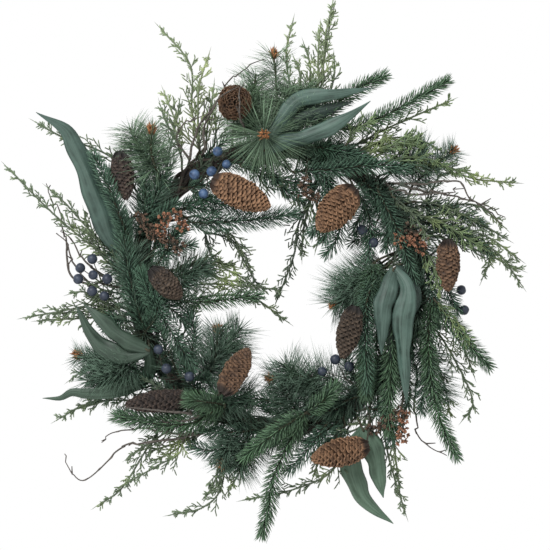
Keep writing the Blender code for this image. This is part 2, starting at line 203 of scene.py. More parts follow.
# %% The pile
# For leaves, the tone mark carries painted light and shade.
MARKS = ("tone", "along", "across")


class Pile:
    """Points and faces on their way to becoming one mesh."""

    def __init__(self):
        self.points = []
        self.faces = []
        self.slots = []
        self.marks = []
        self.size = 0

    def add(self, points, face_groups, slot, tone, along, across=0.0):
        """Takes one part in: its faces count from its own first point."""
        marks = np.empty((len(points), 3))
        marks[:, 0] = tone
        marks[:, 1] = along
        marks[:, 2] = across
        self.points.append(points)
        self.marks.append(marks)
        for faces in face_groups:
            self.faces.append(np.asarray(faces) + self.size)
            self.slots.append(slot)
        self.size += len(points)


def tones(rng, middle, spread, count, shift=0.0):
    """A little darker or lighter for each needle, around a middle tone, from 0 to 1."""
    return np.clip(rng.normal(middle, spread, count) + shift, 0.0, 1.0)


print("marks on every point:", ", ".join(MARKS))

# %% [markdown]
# ## From a pile to a piece
#
# A wreath hangs on a door, so what would poke far behind it or far into the room is bent back
# softly. Then the arrays are handed to the mesh in one go, because a million triangles added one
# by one would take minutes.

# %% Room behind and in front
DOOR_SIDE = 0.012
ROOM_SIDE = -0.080
PRESS = 0.008


def pressed(depth):
    """Bends back what would poke into the door behind, or far into the room."""
    behind = np.maximum(depth - DOOR_SIDE, 0.0)
    ahead = np.maximum(ROOM_SIDE - depth, 0.0)
    depth = np.clip(depth, ROOM_SIDE, DOOR_SIDE)
    return depth + PRESS * np.tanh(behind / PRESS) - PRESS * np.tanh(ahead / PRESS)


print("needles 10 and 30 mm behind the ring end up at", pressed(np.array([0.010, 0.030])).round(4))

# %% Making one piece
TRIANGLES = {}


def mesh_from(name, pile):
    """One smooth mesh from the arrays of a pile, with its marks, and its count of triangles."""
    mesh = bpy.data.meshes.new(name)
    points = np.concatenate(pile.points)
    points[:, 1] = pressed(points[:, 1])
    corners = np.concatenate([faces.ravel() for faces in pile.faces])
    totals = np.concatenate([np.full(len(faces), faces.shape[1]) for faces in pile.faces])
    slots = [np.full(len(faces), number) for faces, number in zip(pile.faces, pile.slots)]
    mesh.vertices.add(len(points))
    mesh.vertices.foreach_set("co", points.ravel())
    mesh.loops.add(len(corners))
    mesh.loops.foreach_set("vertex_index", corners)
    mesh.polygons.add(len(totals))
    mesh.polygons.foreach_set("loop_start", np.concatenate([[0], np.cumsum(totals)[:-1]]))
    mesh.polygons.foreach_set("material_index", np.concatenate(slots))
    mesh.update(calc_edges=True)
    marks = np.concatenate(pile.marks)
    for index, title in enumerate(MARKS):
        layer = mesh.attributes.new(title, "FLOAT", "POINT")
        layer.data.foreach_set("value", np.ascontiguousarray(marks[:, index], dtype=np.float32))
    mesh.shade_smooth()
    return mesh, int((totals - 2).sum())


def make_piece(name, pile, finishes, nodes=()):
    """One object from a pile, riding on the wreath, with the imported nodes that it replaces."""
    mesh, TRIANGLES[name] = mesh_from(name, pile)
    made = bpy.data.objects.new(name, mesh)
    for finish in finishes:
        mesh.materials.append(finish)
    bpy.context.scene.collection.objects.link(made)
    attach(made, "root")
    if nodes:
        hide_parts(*nodes)


print("pieces so far:", len(TRIANGLES))

# %% [markdown]
# ## Tubes
#
# Vines, stems, wires and twigs are all round sections drawn along a route. A bevelled curve could
# do it, but it can't carry the marks or the lumps of bark, so the skin is worked out here: a ring
# of points at every stop, and a single point that closes each end.

# %% Tubes


def strip_faces(rows, columns):
    """The faces of a grid of points, row after row."""
    low = (np.arange(rows - 1)[:, None] * columns + np.arange(columns - 1)[None]).ravel()
    return np.stack([low, low + 1, low + 1 + columns, low + columns], axis=1)


def tube(pile, route, radii, sides, slot, tone=0.5, wobble=1.0):
    """A round skin along a route, closed at both ends by a point."""
    _, fronts, sideways = directions(route)
    count = len(route)
    spread = np.broadcast_to(radii, count)[:, None] * wobble
    ring = turned(ring_angles(sides)[None], fronts[:, None], sideways[:, None])
    skin = route[:, None] + ring * spread[:, :, None]
    points = np.concatenate([skin.reshape(-1, 3), route[:1], route[-1:]])
    faces = []
    caps = []
    for k in range(sides):
        after = (k + 1) % sides
        low = np.arange(count - 1) * sides
        faces.append(np.stack([low + k, low + after, low + after + sides, low + k + sides], axis=1))
        caps.append([count * sides, after, k])
        caps.append([count * sides + 1, (count - 1) * sides + k, (count - 1) * sides + after])
    share = np.concatenate([np.repeat(np.linspace(0.0, 1.0, count), sides), [0.0, 1.0]])
    round_share = np.concatenate([np.tile(np.arange(sides) / sides, count), [0.0, 0.0]])
    pile.add(points, [np.concatenate(faces), caps], slot, tone, share, round_share)


sample = Pile()
tube(sample, elbow, 0.001, 6, 0)
print("a tube along that walk has", sample.size, "points")

# %% [markdown]
# ## Needles, shoots and pods
#
# A needle is a thin section that swells a little, tapers to a point and may bend. Cedar shoots and
# seed pods are the same shape with another profile, whose pairs are a share of the length and how
# wide the needle is there. Instances of one needle would all be alike, so the function takes whole
# arrays, and five hundred needles are a single call.

# %% Needles
NEEDLE = ((0.0, 0.6), (0.55, 1.0))
STOUT_NEEDLE = ((0.0, 0.65), (0.7, 1.0))
BLUNT_SHOOT = ((0.0, 0.8), (0.5, 1.0), (0.88, 0.75))
POD = ((0.0, 0.3), (0.45, 0.9), (0.8, 0.8))


def dart_points(base, way, wide, length, half_width, profile, sides, bend, thickness):
    """The points of every dart, the tip last, and how far along the dart each of them is."""
    thick = np.cross(way, wide)
    points = []
    along = []
    for share, swell in profile:
        middle = base + way * length * share + bend * length * share * share
        for spin in ring_angles(sides):
            edge = wide * math.cos(spin) + thick * math.sin(spin) * thickness
            points.append(middle + edge * half_width * swell)
            along.append(share)
    points.append(base + (way + bend) * length)
    along.append(1.0)
    return np.stack(points, axis=1), along


def darts(
    pile, base, way, wide, length, half_width, slot, tone, profile=NEEDLE, sides=3, bend=0.0, thickness=0.6
):
    """Many needles or pods at once: arrays of base points, directions, width directions, lengths."""
    count = len(base)
    length = np.broadcast_to(length, count)[:, None]
    half_width = np.broadcast_to(half_width, count)[:, None]
    bend = np.broadcast_to(bend, (count, 3))
    points, along = dart_points(base, way, wide, length, half_width, profile, sides, bend, thickness)
    size = len(along)
    quads = []
    for ring in range(len(profile) - 1):
        for k in range(sides):
            low = ring * sides + k
            after = ring * sides + (k + 1) % sides
            quads.append([low, after, after + sides, low + sides])
    last = (len(profile) - 1) * sides
    ends = [[last + k, last + (k + 1) % sides, size - 1] for k in range(sides)]
    step = (np.arange(count) * size)[:, None, None]
    quads = (np.array(quads)[None] + step).reshape(-1, 4)
    ends = (np.array(ends)[None] + step).reshape(-1, 3)
    tone = np.repeat(np.broadcast_to(tone, count), size)
    pile.add(points.reshape(-1, 3), [quads, ends], slot, tone, np.tile(along, count))


print("a needle has", 3 * len(NEEDLE) + 1, "points and a pod", 4 * len(POD) + 1)

# %% [markdown]
# Cedar scales are two millimetres long and there are tens of thousands of them, so they get a
# still simpler shape: a three sided point that only just reads as a scale.

# %% Spikes
TRIANGLE_BACK = 0.5
TRIANGLE_SIDE = 0.87
SPIKE_FOOT_SHARE = 0.3


def spikes(pile, base, way, wide, length, half_width, slot, tone):
    """Tiny three sided points, for scale leaves too small to need a middle ring."""
    count = len(base)
    thick = np.cross(way, wide)
    length = np.broadcast_to(length, count)[:, None]
    half_width = np.broadcast_to(half_width, count)[:, None]
    points = [
        base + wide * half_width,
        base - wide * half_width * TRIANGLE_BACK + thick * half_width * TRIANGLE_SIDE,
        base - wide * half_width * TRIANGLE_BACK - thick * half_width * TRIANGLE_SIDE,
        base + way * length,
    ]
    points = np.stack(points, axis=1).reshape(-1, 3)
    faces = np.array([[0, 1, 3], [1, 2, 3], [2, 0, 3]])[None] + (np.arange(count) * 4)[:, None, None]
    along = np.tile([SPIKE_FOOT_SHARE] * 3 + [1.0], count)
    tone = np.repeat(np.broadcast_to(tone, count), 4)
    pile.add(points, [faces.reshape(-1, 3)], slot, tone, along)


print("a thousand spikes have 4000 points, and as many needles have", 1000 * (3 * len(NEEDLE) + 1))

# %% [markdown]
# ## Shader groups
#
# Several finishes need the same effects. Copied nodes would have to be changed in every copy, so
# each effect is a node group, built once and placed wherever it is wanted. First come small
# helpers that place one node each.

# %% Helpers for nodes
MIX_FACTOR, MIX_FIRST, MIX_SECOND, MIX_COLOUR_OUT = 0, 6, 7, 2


def feed(tree, value, socket):
    """Links another node's output to a socket, or sets a plain value on the socket."""
    if isinstance(value, bpy.types.NodeSocket):
        tree.links.new(value, socket)
    else:
        socket.default_value = value


def mixed(tree, factor, first, second):
    """A colour between two colours; the Mix node keeps its colour sockets after the others."""
    mix = tree.nodes.new("ShaderNodeMix")
    mix.data_type = "RGBA"
    for index, value in ((MIX_FACTOR, factor), (MIX_FIRST, first), (MIX_SECOND, second)):
        feed(tree, value, mix.inputs[index])
    return mix.outputs[MIX_COLOUR_OUT]


def ranged(tree, value, low, high, new_low, new_high):
    """A value moved from one range to another, and held inside the new one."""
    span = tree.nodes.new("ShaderNodeMapRange")
    tree.links.new(value, span.inputs["Value"])
    numbers = {"From Min": low, "From Max": high, "To Min": new_low, "To Max": new_high}
    for title, number in numbers.items():
        span.inputs[title].default_value = number
    return span.outputs["Result"]


def counted(tree, operation, first, second):
    """One step of arithmetic on a value that changes over the surface."""
    node = tree.nodes.new("ShaderNodeMath")
    node.operation = operation
    for index, value in enumerate((first, second)):
        feed(tree, value, node.inputs[index])
    return node.outputs["Value"]


def noise(tree, scale, detail, place=None):
    """Cloudy grey from 0 to 1, in the piece's own space unless another place is given."""
    texture = tree.nodes.new("ShaderNodeTexNoise")
    feed(tree, scale, texture.inputs["Scale"])
    texture.inputs["Detail"].default_value = detail
    if place is None:
        place = tree.nodes.new("ShaderNodeTexCoord").outputs["Object"]
    tree.links.new(place, texture.inputs["Vector"])
    return texture.outputs["Fac"]


print("node helpers:", [made.__name__ for made in (feed, mixed, ranged, counted, noise)])

# %% [markdown]
# A needle is dark at its root and paler at its tip, no two have quite the same tone, and whole
# parts of a spray are a fresher green. Nobody paints that by hand, so the first group blends from
# root to tip by the marks on the points.

# %% Group: from root to tip
COLOUR = "NodeSocketColor"
NUMBER = "NodeSocketFloat"
GREY = (0.5, 0.5, 0.5, 1.0)


def new_group(name, inputs, outputs):
    """An empty shader group with its sockets, and the nodes at its two ends."""
    group = bpy.data.node_groups.new(name, "ShaderNodeTree")
    for title, kind, value in inputs:
        socket = group.interface.new_socket(title, in_out="INPUT", socket_type=kind)
        socket.default_value = value
    for title, kind in outputs:
        group.interface.new_socket(title, in_out="OUTPUT", socket_type=kind)
    return group, group.nodes.new("NodeGroupInput"), group.nodes.new("NodeGroupOutput")


def root_to_tip_group():
    """Colour from root to tip, darker or lighter by tone, with soft patches."""
    inputs = [("Root", COLOUR, GREY), ("Tip", COLOUR, GREY), ("Fresh", COLOUR, GREY)]
    inputs += [("Along", NUMBER, 0.5), ("Tone", NUMBER, 0.5), ("Patch Scale", NUMBER, 40.0)]
    group, given, result = new_group("root_to_tip", inputs, [("Color", COLOUR)])
    base = mixed(group, given.outputs["Along"], given.outputs["Root"], given.outputs["Tip"])
    patch = noise(group, given.outputs["Patch Scale"], 2.0)
    fresh = ranged(group, patch, 0.52, 0.72, 0.0, 0.8)
    blended = mixed(group, fresh, base, given.outputs["Fresh"])
    dim = ranged(group, given.outputs["Tone"], 0.0, 1.0, 0.55, 1.45)
    shade = group.nodes.new("ShaderNodeVectorMath")
    shade.operation = "SCALE"
    group.links.new(blended, shade.inputs[0])
    group.links.new(dim, shade.inputs["Scale"])
    group.links.new(shade.outputs["Vector"], result.inputs["Color"])
    return group


ROOT_TO_TIP = root_to_tip_group()
print(ROOT_TO_TIP.name, "has", len(ROOT_TO_TIP.nodes), "nodes")

# %% [markdown]
# Dyed cloth, waxy berries and weathered cone wood are never one flat colour. A noise texture breaks
# the colour into soft blotches, and the same mask can raise the surface where the second colour is.

# %% Group: blotches


def blotch_group():
    """A colour broken by soft blotches, and the mask that made them."""
    inputs = [("Color", COLOUR, GREY), ("Other", COLOUR, GREY), ("Scale", NUMBER, 60.0)]
    group, given, result = new_group("blotches", inputs, [("Color", COLOUR), ("Mask", NUMBER)])
    mask = ranged(group, noise(group, given.outputs["Scale"], 5.0), 0.35, 0.68, 0.0, 1.0)
    colour = mixed(group, mask, given.outputs["Color"], given.outputs["Other"])
    group.links.new(colour, result.inputs["Color"])
    group.links.new(mask, result.inputs["Mask"])
    return group


BLOTCHES = blotch_group()
print(BLOTCHES.name, "has", len(BLOTCHES.nodes), "nodes")

# %% [markdown]
# Bark and wood have ridges that run with the grain. Noise is the same in every direction, so it is
# read at a stretched place: many ridges across for few changes along.

# %% Group: grain


def grain_group():
    """Height of bark or wood: long ridges with fine pits."""
    inputs = [("Along", NUMBER, 0.5), ("Across", NUMBER, 0.5)]
    inputs += [("Length", NUMBER, 40.0), ("Ridges", NUMBER, 8.0)]
    group, given, result = new_group("grain", inputs, [("Height", NUMBER)])
    join = group.nodes.new("ShaderNodeCombineXYZ")
    for title, factor, axis in (("Along", "Length", "X"), ("Across", "Ridges", "Y")):
        times = counted(group, "MULTIPLY", given.outputs[title], given.outputs[factor])
        group.links.new(times, join.inputs[axis])
    group.links.new(noise(group, 1.0, 6.0, join.outputs["Vector"]), result.inputs["Height"])
    return group


GRAIN = grain_group()
print(GRAIN.name, "has", len(GRAIN.nodes), "nodes")

# %% [markdown]
# ## Finishes for needles
#
# Needles and scale leaves are soft moulded plastic, nearly matt. Each finish is the same recipe
# with its own colours, so one function makes them all. The colours are given as screen values,
# which the shader needs in linear form.

# %% Helpers for finishes
PLASTIC_SHINE = 0.35


def rgb(red, green, blue):
    """A colour picked in screen values from 0 to 255, as the linear values that a shader takes."""
    values = []
    for channel in (red, green, blue):
        share = channel / 255.0
        values.append(share / 12.92 if share <= 0.04045 else ((share + 0.055) / 1.055) ** 2.4)
    return (*values, 1.0)


def new_material(name, roughness):
    """A plain finish, its node tree and its surface shader."""
    made = bpy.data.materials.new(name)
    made.use_nodes = True
    shader = made.node_tree.nodes["Principled BSDF"]
    shader.inputs["Roughness"].default_value = roughness
    shader.inputs["Specular IOR Level"].default_value = PLASTIC_SHINE
    return made, made.node_tree, shader


def mark(tree, title):
    """One of the three numbers that every point carries."""
    node = tree.nodes.new("ShaderNodeAttribute")
    node.attribute_name = title
    return node.outputs["Fac"]


def placed_group(tree, group, values):
    """A shader group in a finish, with its sockets fed by name."""
    node = tree.nodes.new("ShaderNodeGroup")
    node.node_tree = group
    for title, value in values.items():
        feed(tree, value, node.inputs[title])
    return node


def bumped(tree, shader, height, strength, distance):
    """Small relief that the light shows and the mesh doesn't have."""
    bump = tree.nodes.new("ShaderNodeBump")
    bump.inputs["Strength"].default_value = strength
    bump.inputs["Distance"].default_value = distance
    tree.links.new(height, bump.inputs["Height"])
    tree.links.new(bump.outputs["Normal"], shader.inputs["Normal"])


print("middle grey on the screen is", round(rgb(128, 128, 128)[0], 3), "in linear light")

# %% Needle finishes


def needle_finish(name, root, tip, fresh, roughness=0.6, patch=25.0):
    """Soft plastic, shaded from root to tip, with patches of a fresher colour."""
    made, tree, shader = new_material(name, roughness)
    values = {"Root": root, "Tip": tip, "Fresh": fresh, "Patch Scale": patch}
    values["Along"] = mark(tree, "along")
    values["Tone"] = mark(tree, "tone")
    colour = placed_group(tree, ROOT_TO_TIP, values)
    tree.links.new(colour.outputs["Color"], shader.inputs["Base Color"])
    bumped(tree, shader, noise(tree, 900.0, 3.0), 0.25, 0.0004)
    return made


SPRUCE = needle_finish("spruce_needles", rgb(37, 55, 47), rgb(80, 110, 90), rgb(56, 88, 66))
# A brighter copy of the spruce finish: painted light, for sprays that catch the light.
SPRUCE_LIT = needle_finish("spruce_painted_light", rgb(44, 63, 48), rgb(90, 119, 90), rgb(68, 98, 68))
PINE = needle_finish("pine_needles", rgb(42, 58, 49), rgb(94, 118, 101), rgb(64, 88, 67))
# A paler copy of the pine finish: painted light, for the light that comes through sprays at the top.
PINE_LIT = needle_finish("pine_painted_light", rgb(54, 74, 58), rgb(122, 148, 120), rgb(88, 114, 82))
CEDAR = needle_finish("cedar_scales", rgb(50, 62, 51), rgb(106, 122, 93), rgb(128, 143, 94))
# A darker copy of the cedar finish: painted shade, for sprigs that lie in the shade.
CEDAR_SHADED = needle_finish("cedar_painted_shade", rgb(42, 52, 44), rgb(76, 90, 70), rgb(88, 100, 68))
CEDAR_YELLOW = needle_finish("cedar_yellow", rgb(60, 76, 52), rgb(124, 145, 102), rgb(140, 154, 100))
CEDAR_PALE = needle_finish("cedar_pale", rgb(56, 66, 52), rgb(132, 148, 112), rgb(154, 166, 114))
print("finishes so far:", len(bpy.data.materials))

# %% Bud and seed finishes
BUD = needle_finish("pine_bud", rgb(78, 50, 32), rgb(160, 110, 70), rgb(130, 82, 48), 0.75)
SEED = needle_finish("rust_seed", rgb(44, 34, 28), rgb(146, 102, 78), rgb(66, 50, 40), 0.8, 60.0)
SEED_DARK = needle_finish("dull_seed", rgb(40, 34, 28), rgb(96, 76, 62), rgb(58, 50, 42), 0.8, 60.0)
print("finishes so far:", len(bpy.data.materials))

# %% [markdown]
# ## Bark
#
# Bark is matt, with dark furrows between paler ridges. One height from the grain group both picks
# the colour and raises the surface, so the two always agree. Wrapped stems and wires are the same
# finish with fewer ridges.

# %% Bark finishes
BARK_ROUGHNESS = 0.85
BARK_LENGTH = 60.0
BARK_RELIEF = 0.0012


def bark_finish(name, dark, pale, ridges):
    """Furrows and ridges along a vine, a twig, a wrapped stem or a wire."""
    made, tree, shader = new_material(name, BARK_ROUGHNESS)
    values = {"Along": mark(tree, "along"), "Across": mark(tree, "across")}
    values.update({"Length": BARK_LENGTH, "Ridges": ridges})
    height = placed_group(tree, GRAIN, values).outputs["Height"]
    colour = mixed(tree, ranged(tree, height, 0.38, 0.66, 0.0, 1.0), dark, pale)
    tree.links.new(colour, shader.inputs["Base Color"])
    bumped(tree, shader, height, 0.8, BARK_RELIEF)
    return made


VINE = bark_finish("vine_bark", rgb(32, 28, 26), rgb(78, 68, 60), 9.0)
TWIG = bark_finish("twig_bark", rgb(50, 46, 43), rgb(100, 94, 87), 4.0)
STEM = bark_finish("stem_wrap", rgb(44, 46, 36), rgb(76, 72, 54), 3.0)
WIRE = bark_finish("stalk_wire", rgb(40, 42, 36), rgb(62, 60, 48), 3.0)
print("finishes so far:", len(bpy.data.materials))

# %% [markdown]
# ## Cone wood
#
# A cone scale is brown where it comes out and tan at its lip, and its face is finely streaked.
# Where it sits in the cone it is painted dark, as painted shade between the scales. Three colours
# are blended by how far along the scale a point lies, so this painted shade shows in any light.

# %% Cone finishes


def cone_finish(name, deep, body, lip, age):
    """Cone wood from its inside, darkened with painted shade, to the pale lip, with weathered blotches."""
    made, tree, shader = new_material(name, 0.7)
    along = mark(tree, "along")
    # The deep colour is painted shade where the scale sits inside the cone.
    rise = mixed(tree, ranged(tree, along, 0.48, 0.84, 0.0, 1.0), deep, body)
    edge = mixed(tree, ranged(tree, along, 0.80, 1.0, 0.0, 1.0), rise, lip)
    worn = placed_group(tree, BLOTCHES, {"Color": edge, "Other": age, "Scale": 120.0})
    fresh = ranged(tree, mark(tree, "tone"), 0.0, 1.0, 0.0, 0.75)
    tree.links.new(mixed(tree, fresh, worn.outputs["Color"], edge), shader.inputs["Base Color"])
    values = {"Along": along, "Across": mark(tree, "across"), "Length": 3.0, "Ridges": 9.0}
    bumped(tree, shader, placed_group(tree, GRAIN, values).outputs["Height"], 0.5, 0.0008)
    return made


# Lit and shaded copies of one cone finish: tan is painted light, brown the plain finish, dull and dark are
# painted shade. The first colour of each is the painted shade inside the cone.
CONE_LIT = cone_finish("cone_painted_light", rgb(30, 22, 17), rgb(92, 67, 47), rgb(156, 120, 91), rgb(72, 53, 40))
CONE_BROWN = cone_finish("cone_brown", rgb(28, 23, 20), rgb(76, 57, 43), rgb(126, 97, 74), rgb(56, 44, 37))
CONE_SHADED = cone_finish("cone_painted_shade", rgb(22, 19, 17), rgb(46, 38, 31), rgb(86, 72, 59), rgb(36, 31, 28))
CONE_SHADED_DARK = cone_finish("cone_painted_deep_shade", rgb(22, 20, 20), rgb(50, 43, 39), rgb(82, 68, 60), rgb(38, 34, 33))
print("finishes so far:", len(bpy.data.materials))

# %% [markdown]
# ## Cloth leaves
#
# The leaves are dyed cloth with a pale midrib and fine slanting side veins. A drawn image would
# have to be fitted to each leaf, so the veins are arithmetic on the marks: the rib is where the
# across mark is near zero, and the side veins are a zigzag that slants away from the rib.

# %% Leaf finishes
SIDE_VEINS = 16.0
VEIN_SLANT = 2.6
VEIN_WIDTH = 0.09


def leaf_veins(tree, along, width):
    """One on the midrib and on the side veins, nothing between them."""
    forward = counted(tree, "MULTIPLY", along, SIDE_VEINS)
    slant = counted(tree, "SUBTRACT", forward, counted(tree, "MULTIPLY", width, VEIN_SLANT))
    side_vein = ranged(tree, counted(tree, "PINGPONG", slant, 0.5), 0.0, VEIN_WIDTH, 0.14, 0.0)
    rib = ranged(tree, width, 0.02, VEIN_WIDTH, 0.5, 0.0)
    return counted(tree, "MAXIMUM", side_vein, rib)


def leaf_finish(name, face, other, vein, shade):
    """Blotchy dyed cloth with streaks and veins, with painted shade on leaves that lie deep."""
    made, tree, shader = new_material(name, 0.55)
    across = mark(tree, "across")
    along = mark(tree, "along")
    cloth = placed_group(tree, BLOTCHES, {"Color": face, "Other": other, "Scale": 70.0})
    values = {"Along": along, "Across": across, "Length": 2.2, "Ridges": 3.2}
    streak = placed_group(tree, GRAIN, values).outputs["Height"]
    streaked = mixed(tree, ranged(tree, streak, 0.42, 0.66, 0.0, 0.8), cloth.outputs["Color"], vein)
    veins = leaf_veins(tree, along, counted(tree, "ABSOLUTE", across, 0.0))
    colour = mixed(tree, veins, streaked, vein)
    # Painted shade: a low tone mark mixes the leaf towards the shade colour.
    deep = ranged(tree, mark(tree, "tone"), 0.0, 1.0, 0.85, 0.0)
    tree.links.new(mixed(tree, deep, colour, shade), shader.inputs["Base Color"])
    bumped(tree, shader, counted(tree, "ADD", veins, streak), 0.35, 0.0008)
    return made


# The last colour of each leaf finish is its painted shade.
LEAF = leaf_finish("leaf_cloth", rgb(35, 52, 45), rgb(61, 83, 75), rgb(74, 95, 86), rgb(24, 36, 32))
LEAF_GREEN = leaf_finish("leaf_green", rgb(46, 64, 50), rgb(69, 91, 74), rgb(84, 106, 90), rgb(24, 36, 30))
print("finishes so far:", len(bpy.data.materials))

# %% [markdown]
# ## Berry skin
#
# A berry is dark blue under a pale waxy bloom, with a dark crown opposite its stalk. The bloom is
# the blotch group and the crown the far end of the along mark, so the ball needs no unwrapping.

# %% Berry finishes


def berry_finish(name, skin, bloom, crown_colour):
    """Dark skin under a waxy bloom, darker still at the crown."""
    made, tree, shader = new_material(name, 0.48)
    waxy = placed_group(tree, BLOTCHES, {"Color": skin, "Other": bloom, "Scale": 150.0})
    crown = ranged(tree, mark(tree, "along"), 0.93, 0.99, 0.0, 1.0)
    tree.links.new(mixed(tree, crown, waxy.outputs["Color"], crown_colour), shader.inputs["Base Color"])
    bumped(tree, shader, waxy.outputs["Mask"], 0.15, 0.0005)
    return made


BERRY = berry_finish("berry_skin", rgb(28, 34, 46), rgb(48, 56, 70), rgb(18, 20, 26))
BERRY_BLUE = berry_finish("berry_blue", rgb(38, 54, 80), rgb(70, 94, 126), rgb(22, 26, 38))
print("finishes in all:", len(bpy.data.materials))

# %% [markdown]
# ## The vine ring
#
# The ring is three bark covered strands twisted round each other. A screw modifier could twist
# them, but the stems have to find the strands, so both follow the same formula. A tube of one even
# radius looks like hose, so the radius varies with slow waves and a few knots.

# %% The vine ring
WAVES = 5
WAVE_HEIGHT = 0.035
KNOTS = 7
KNOT_HEIGHT = 0.22
KNOT_WIDTH = 0.012


def strand_route(offset, turns, phase, angles, wander):
    """The middle line of a strand that winds round the bundle while it goes round the ring."""
    route = []
    for angle in angles:
        turn = turns * angle + phase
        sway = 1.0 + wander * math.sin(5.0 * angle + phase) + wander * math.sin(11.0 * angle + 2.0 * phase)
        shift = offset * sway * (math.cos(turn) * outward(angle) + math.sin(turn) * FRONT)
        route.append(ring_point(angle) + shift)
    return np.array(route)


def bark_lumps(rng, angles, sides):
    """Slow waves and knots, as a factor on the radius at each point of the skin."""
    lumps = np.zeros((len(angles), sides))
    for _ in range(WAVES):
        around = rng.integers(1, 5)
        forward = rng.integers(6, 60)
        shift = rng.uniform(0.0, 6.3)
        turn = forward * angles[:, None] + around * ring_angles(sides)[None, :] + shift
        lumps += WAVE_HEIGHT * np.sin(turn)
    for knot in rng.uniform(0.1, 6.1, KNOTS):
        lumps += KNOT_HEIGHT * np.exp(-(((angles - knot) / KNOT_WIDTH) ** 2))[:, None]
    return 1.0 + lumps


def closed_strand(name, shape, radius, finish, rng, nodes=(), sides=8, steps=360, wander=0.0):
    """One strand all the way round, from its offset, turns and phase."""
    angles = np.linspace(0.0, FULL_TURN, steps)
    route = strand_route(*shape, angles, wander)
    pile = Pile()
    tube(pile, route, radius, sides, 0, wobble=bark_lumps(rng, angles, sides))
    make_piece(name, pile, [finish], nodes)


vine_rng = np.random.default_rng(12)
for index in range(VINE_COUNT):
    shape = (VINE_OFFSET, VINE_TURNS, index * FULL_TURN / VINE_COUNT)
    title = f"vine_{index + 1}"
    closed_strand(title + "_bark", shape, VINE_RADIUS, VINE, vine_rng, [title], sides=14, steps=420)
print("strands:", len(TRIANGLES), "with", sum(TRIANGLES.values()), "triangles")

# %% [markdown]
# Real grapevine keeps its thin tendrils. Five are wound loosely over the strands, each with its
# own number of turns, some the other way round, and they wander in and out.

# %% Tendrils
TENDRILS = {
    "vine_tendril_a": ((0.0098, 11, 0.7), 0.0013, VINE, 0.05),
    "vine_tendril_b": ((0.0100, -8, 2.1), 0.0011, TWIG, 0.05),
    "vine_tendril_c": ((0.0122, 7, 4.0), 0.0017, VINE, 0.12),
    "vine_tendril_d": ((0.0130, -5, 5.2), 0.0014, VINE, 0.14),
    "vine_tendril_e": ((0.0118, 13, 1.6), 0.0012, VINE, 0.10),
}
for title, (shape, radius, finish, wander) in TENDRILS.items():
    closed_strand(title, shape, radius, finish, vine_rng, wander=wander)
print("triangles in the whole ring:", sum(TRIANGLES.values()))

# %% [markdown]
# ## How a pick is put together
#
# A pick is a bundle of branches on one stem, which is wired to the vine. So every pick is written
# the same way: its foot, as a grid place and a lean, and then its branches, each as a few points
# that begin at the fork. What grows on a branch is a function handed in, so one rule serves them
# all.

# %% Picks
PICK_STEM = 0.0013
STEM_SIDES = 6
WIRE_RADIUS = 0.0012


def pick(pile, foot, branches, branch, rng):
    """A shared stem from its foot on the vine to the fork, then each branch from there."""
    fork = plan(*branches[0][0])
    toward = plan(*branches[0][1])
    stem = walk([*seat(*foot), fork, fork + (toward - fork) * 0.2], 0.003)
    tube(pile, stem, PICK_STEM, STEM_SIDES, 1)
    for places in branches:
        branch(pile, [plan(*place) for place in places], rng)


def picks(table, branch, finishes, slot, seed, others=()):
    """One piece for each named pick; a finish of its own comes from a dictionary of others."""
    for index, (title, (foot, branches)) in enumerate(table.items()):
        pile = Pile()
        pick(pile, foot, branches, branch, np.random.default_rng(seed + index))
        own = [others[title], *finishes[1:]] if title in others else finishes
        make_piece(title + "_" + slot, pile, own, [title])
    print(slot, "triangles:", sum(TRIANGLES[title + "_" + slot] for title in table))


def chosen(table, titles):
    """Some rows of a table, in the order of the titles."""
    return {title: table[title] for title in titles}


print("a stem is", 2000.0 * PICK_STEM, "mm thick")

# %% [markdown]
# ## Spruce
#
# A spruce branch is a stem with short needles all round it. They lean towards the tip, at about 60
# degrees low on the branch and less near its end. Needles at the sides read as a comb against the
# light, which is what makes a branch look like spruce, so they stand in rows with little jitter.
# Hair particles would scatter them, and the comb would be lost.

# %% A spruce branch
SPRUCE_SPACING = 0.0026
BARE_TIP = 3
SPRUCE_LEAN = 60.0
TIP_CLOSING = 26.0


def spruce_branch(pile, points, rng, length=0.0145, rows=8, half_width=0.00075):
    """A stem with rows of needles all round it."""
    route = walk(points, SPRUCE_SPACING)
    route = route[: max(6, len(route) - BARE_TIP)]
    count = len(route)
    tube(pile, route, np.linspace(PICK_STEM, 0.0007, count), 5, 1)
    along, fronts, sideways = directions(route)
    stations = np.arange(1, count)
    place = np.repeat(stations, rows)
    share = place / (count - 1)
    row = np.tile(np.arange(rows), len(stations))
    total = len(row)
    spin = (row + 0.5 * (place % 2)) * FULL_TURN / rows + rng.normal(0.0, 0.12, total)
    radial = turned(spin, fronts[place], sideways[place])
    lean = np.radians(SPRUCE_LEAN - TIP_CLOSING * share**5 + rng.normal(0.0, 4.5, total))
    way = unit(turned(lean, along[place], radial))
    size = length * (1.0 - 0.22 * share**6) * np.minimum(1.0, 0.5 + 5.0 * share)
    size = size * rng.uniform(0.84, 1.06, total)
    tone = tones(rng, rng.uniform(0.38, 0.6), 0.17, total)
    base = route[place] + radial * 0.0008
    wide = unit(np.cross(way, radial))
    bend = along[place] * 0.10
    darts(pile, base, way, wide, size, half_width, 0, tone, STOUT_NEEDLE, bend=bend)


fine_spruce = partial(spruce_branch, length=0.0182, rows=11, half_width=0.00058)
long_spruce = partial(spruce_branch, length=0.0152, rows=9, half_width=0.00082)
print("a spruce branch of 10 cm has about", 8 * round(0.1 / SPRUCE_SPACING), "needles")
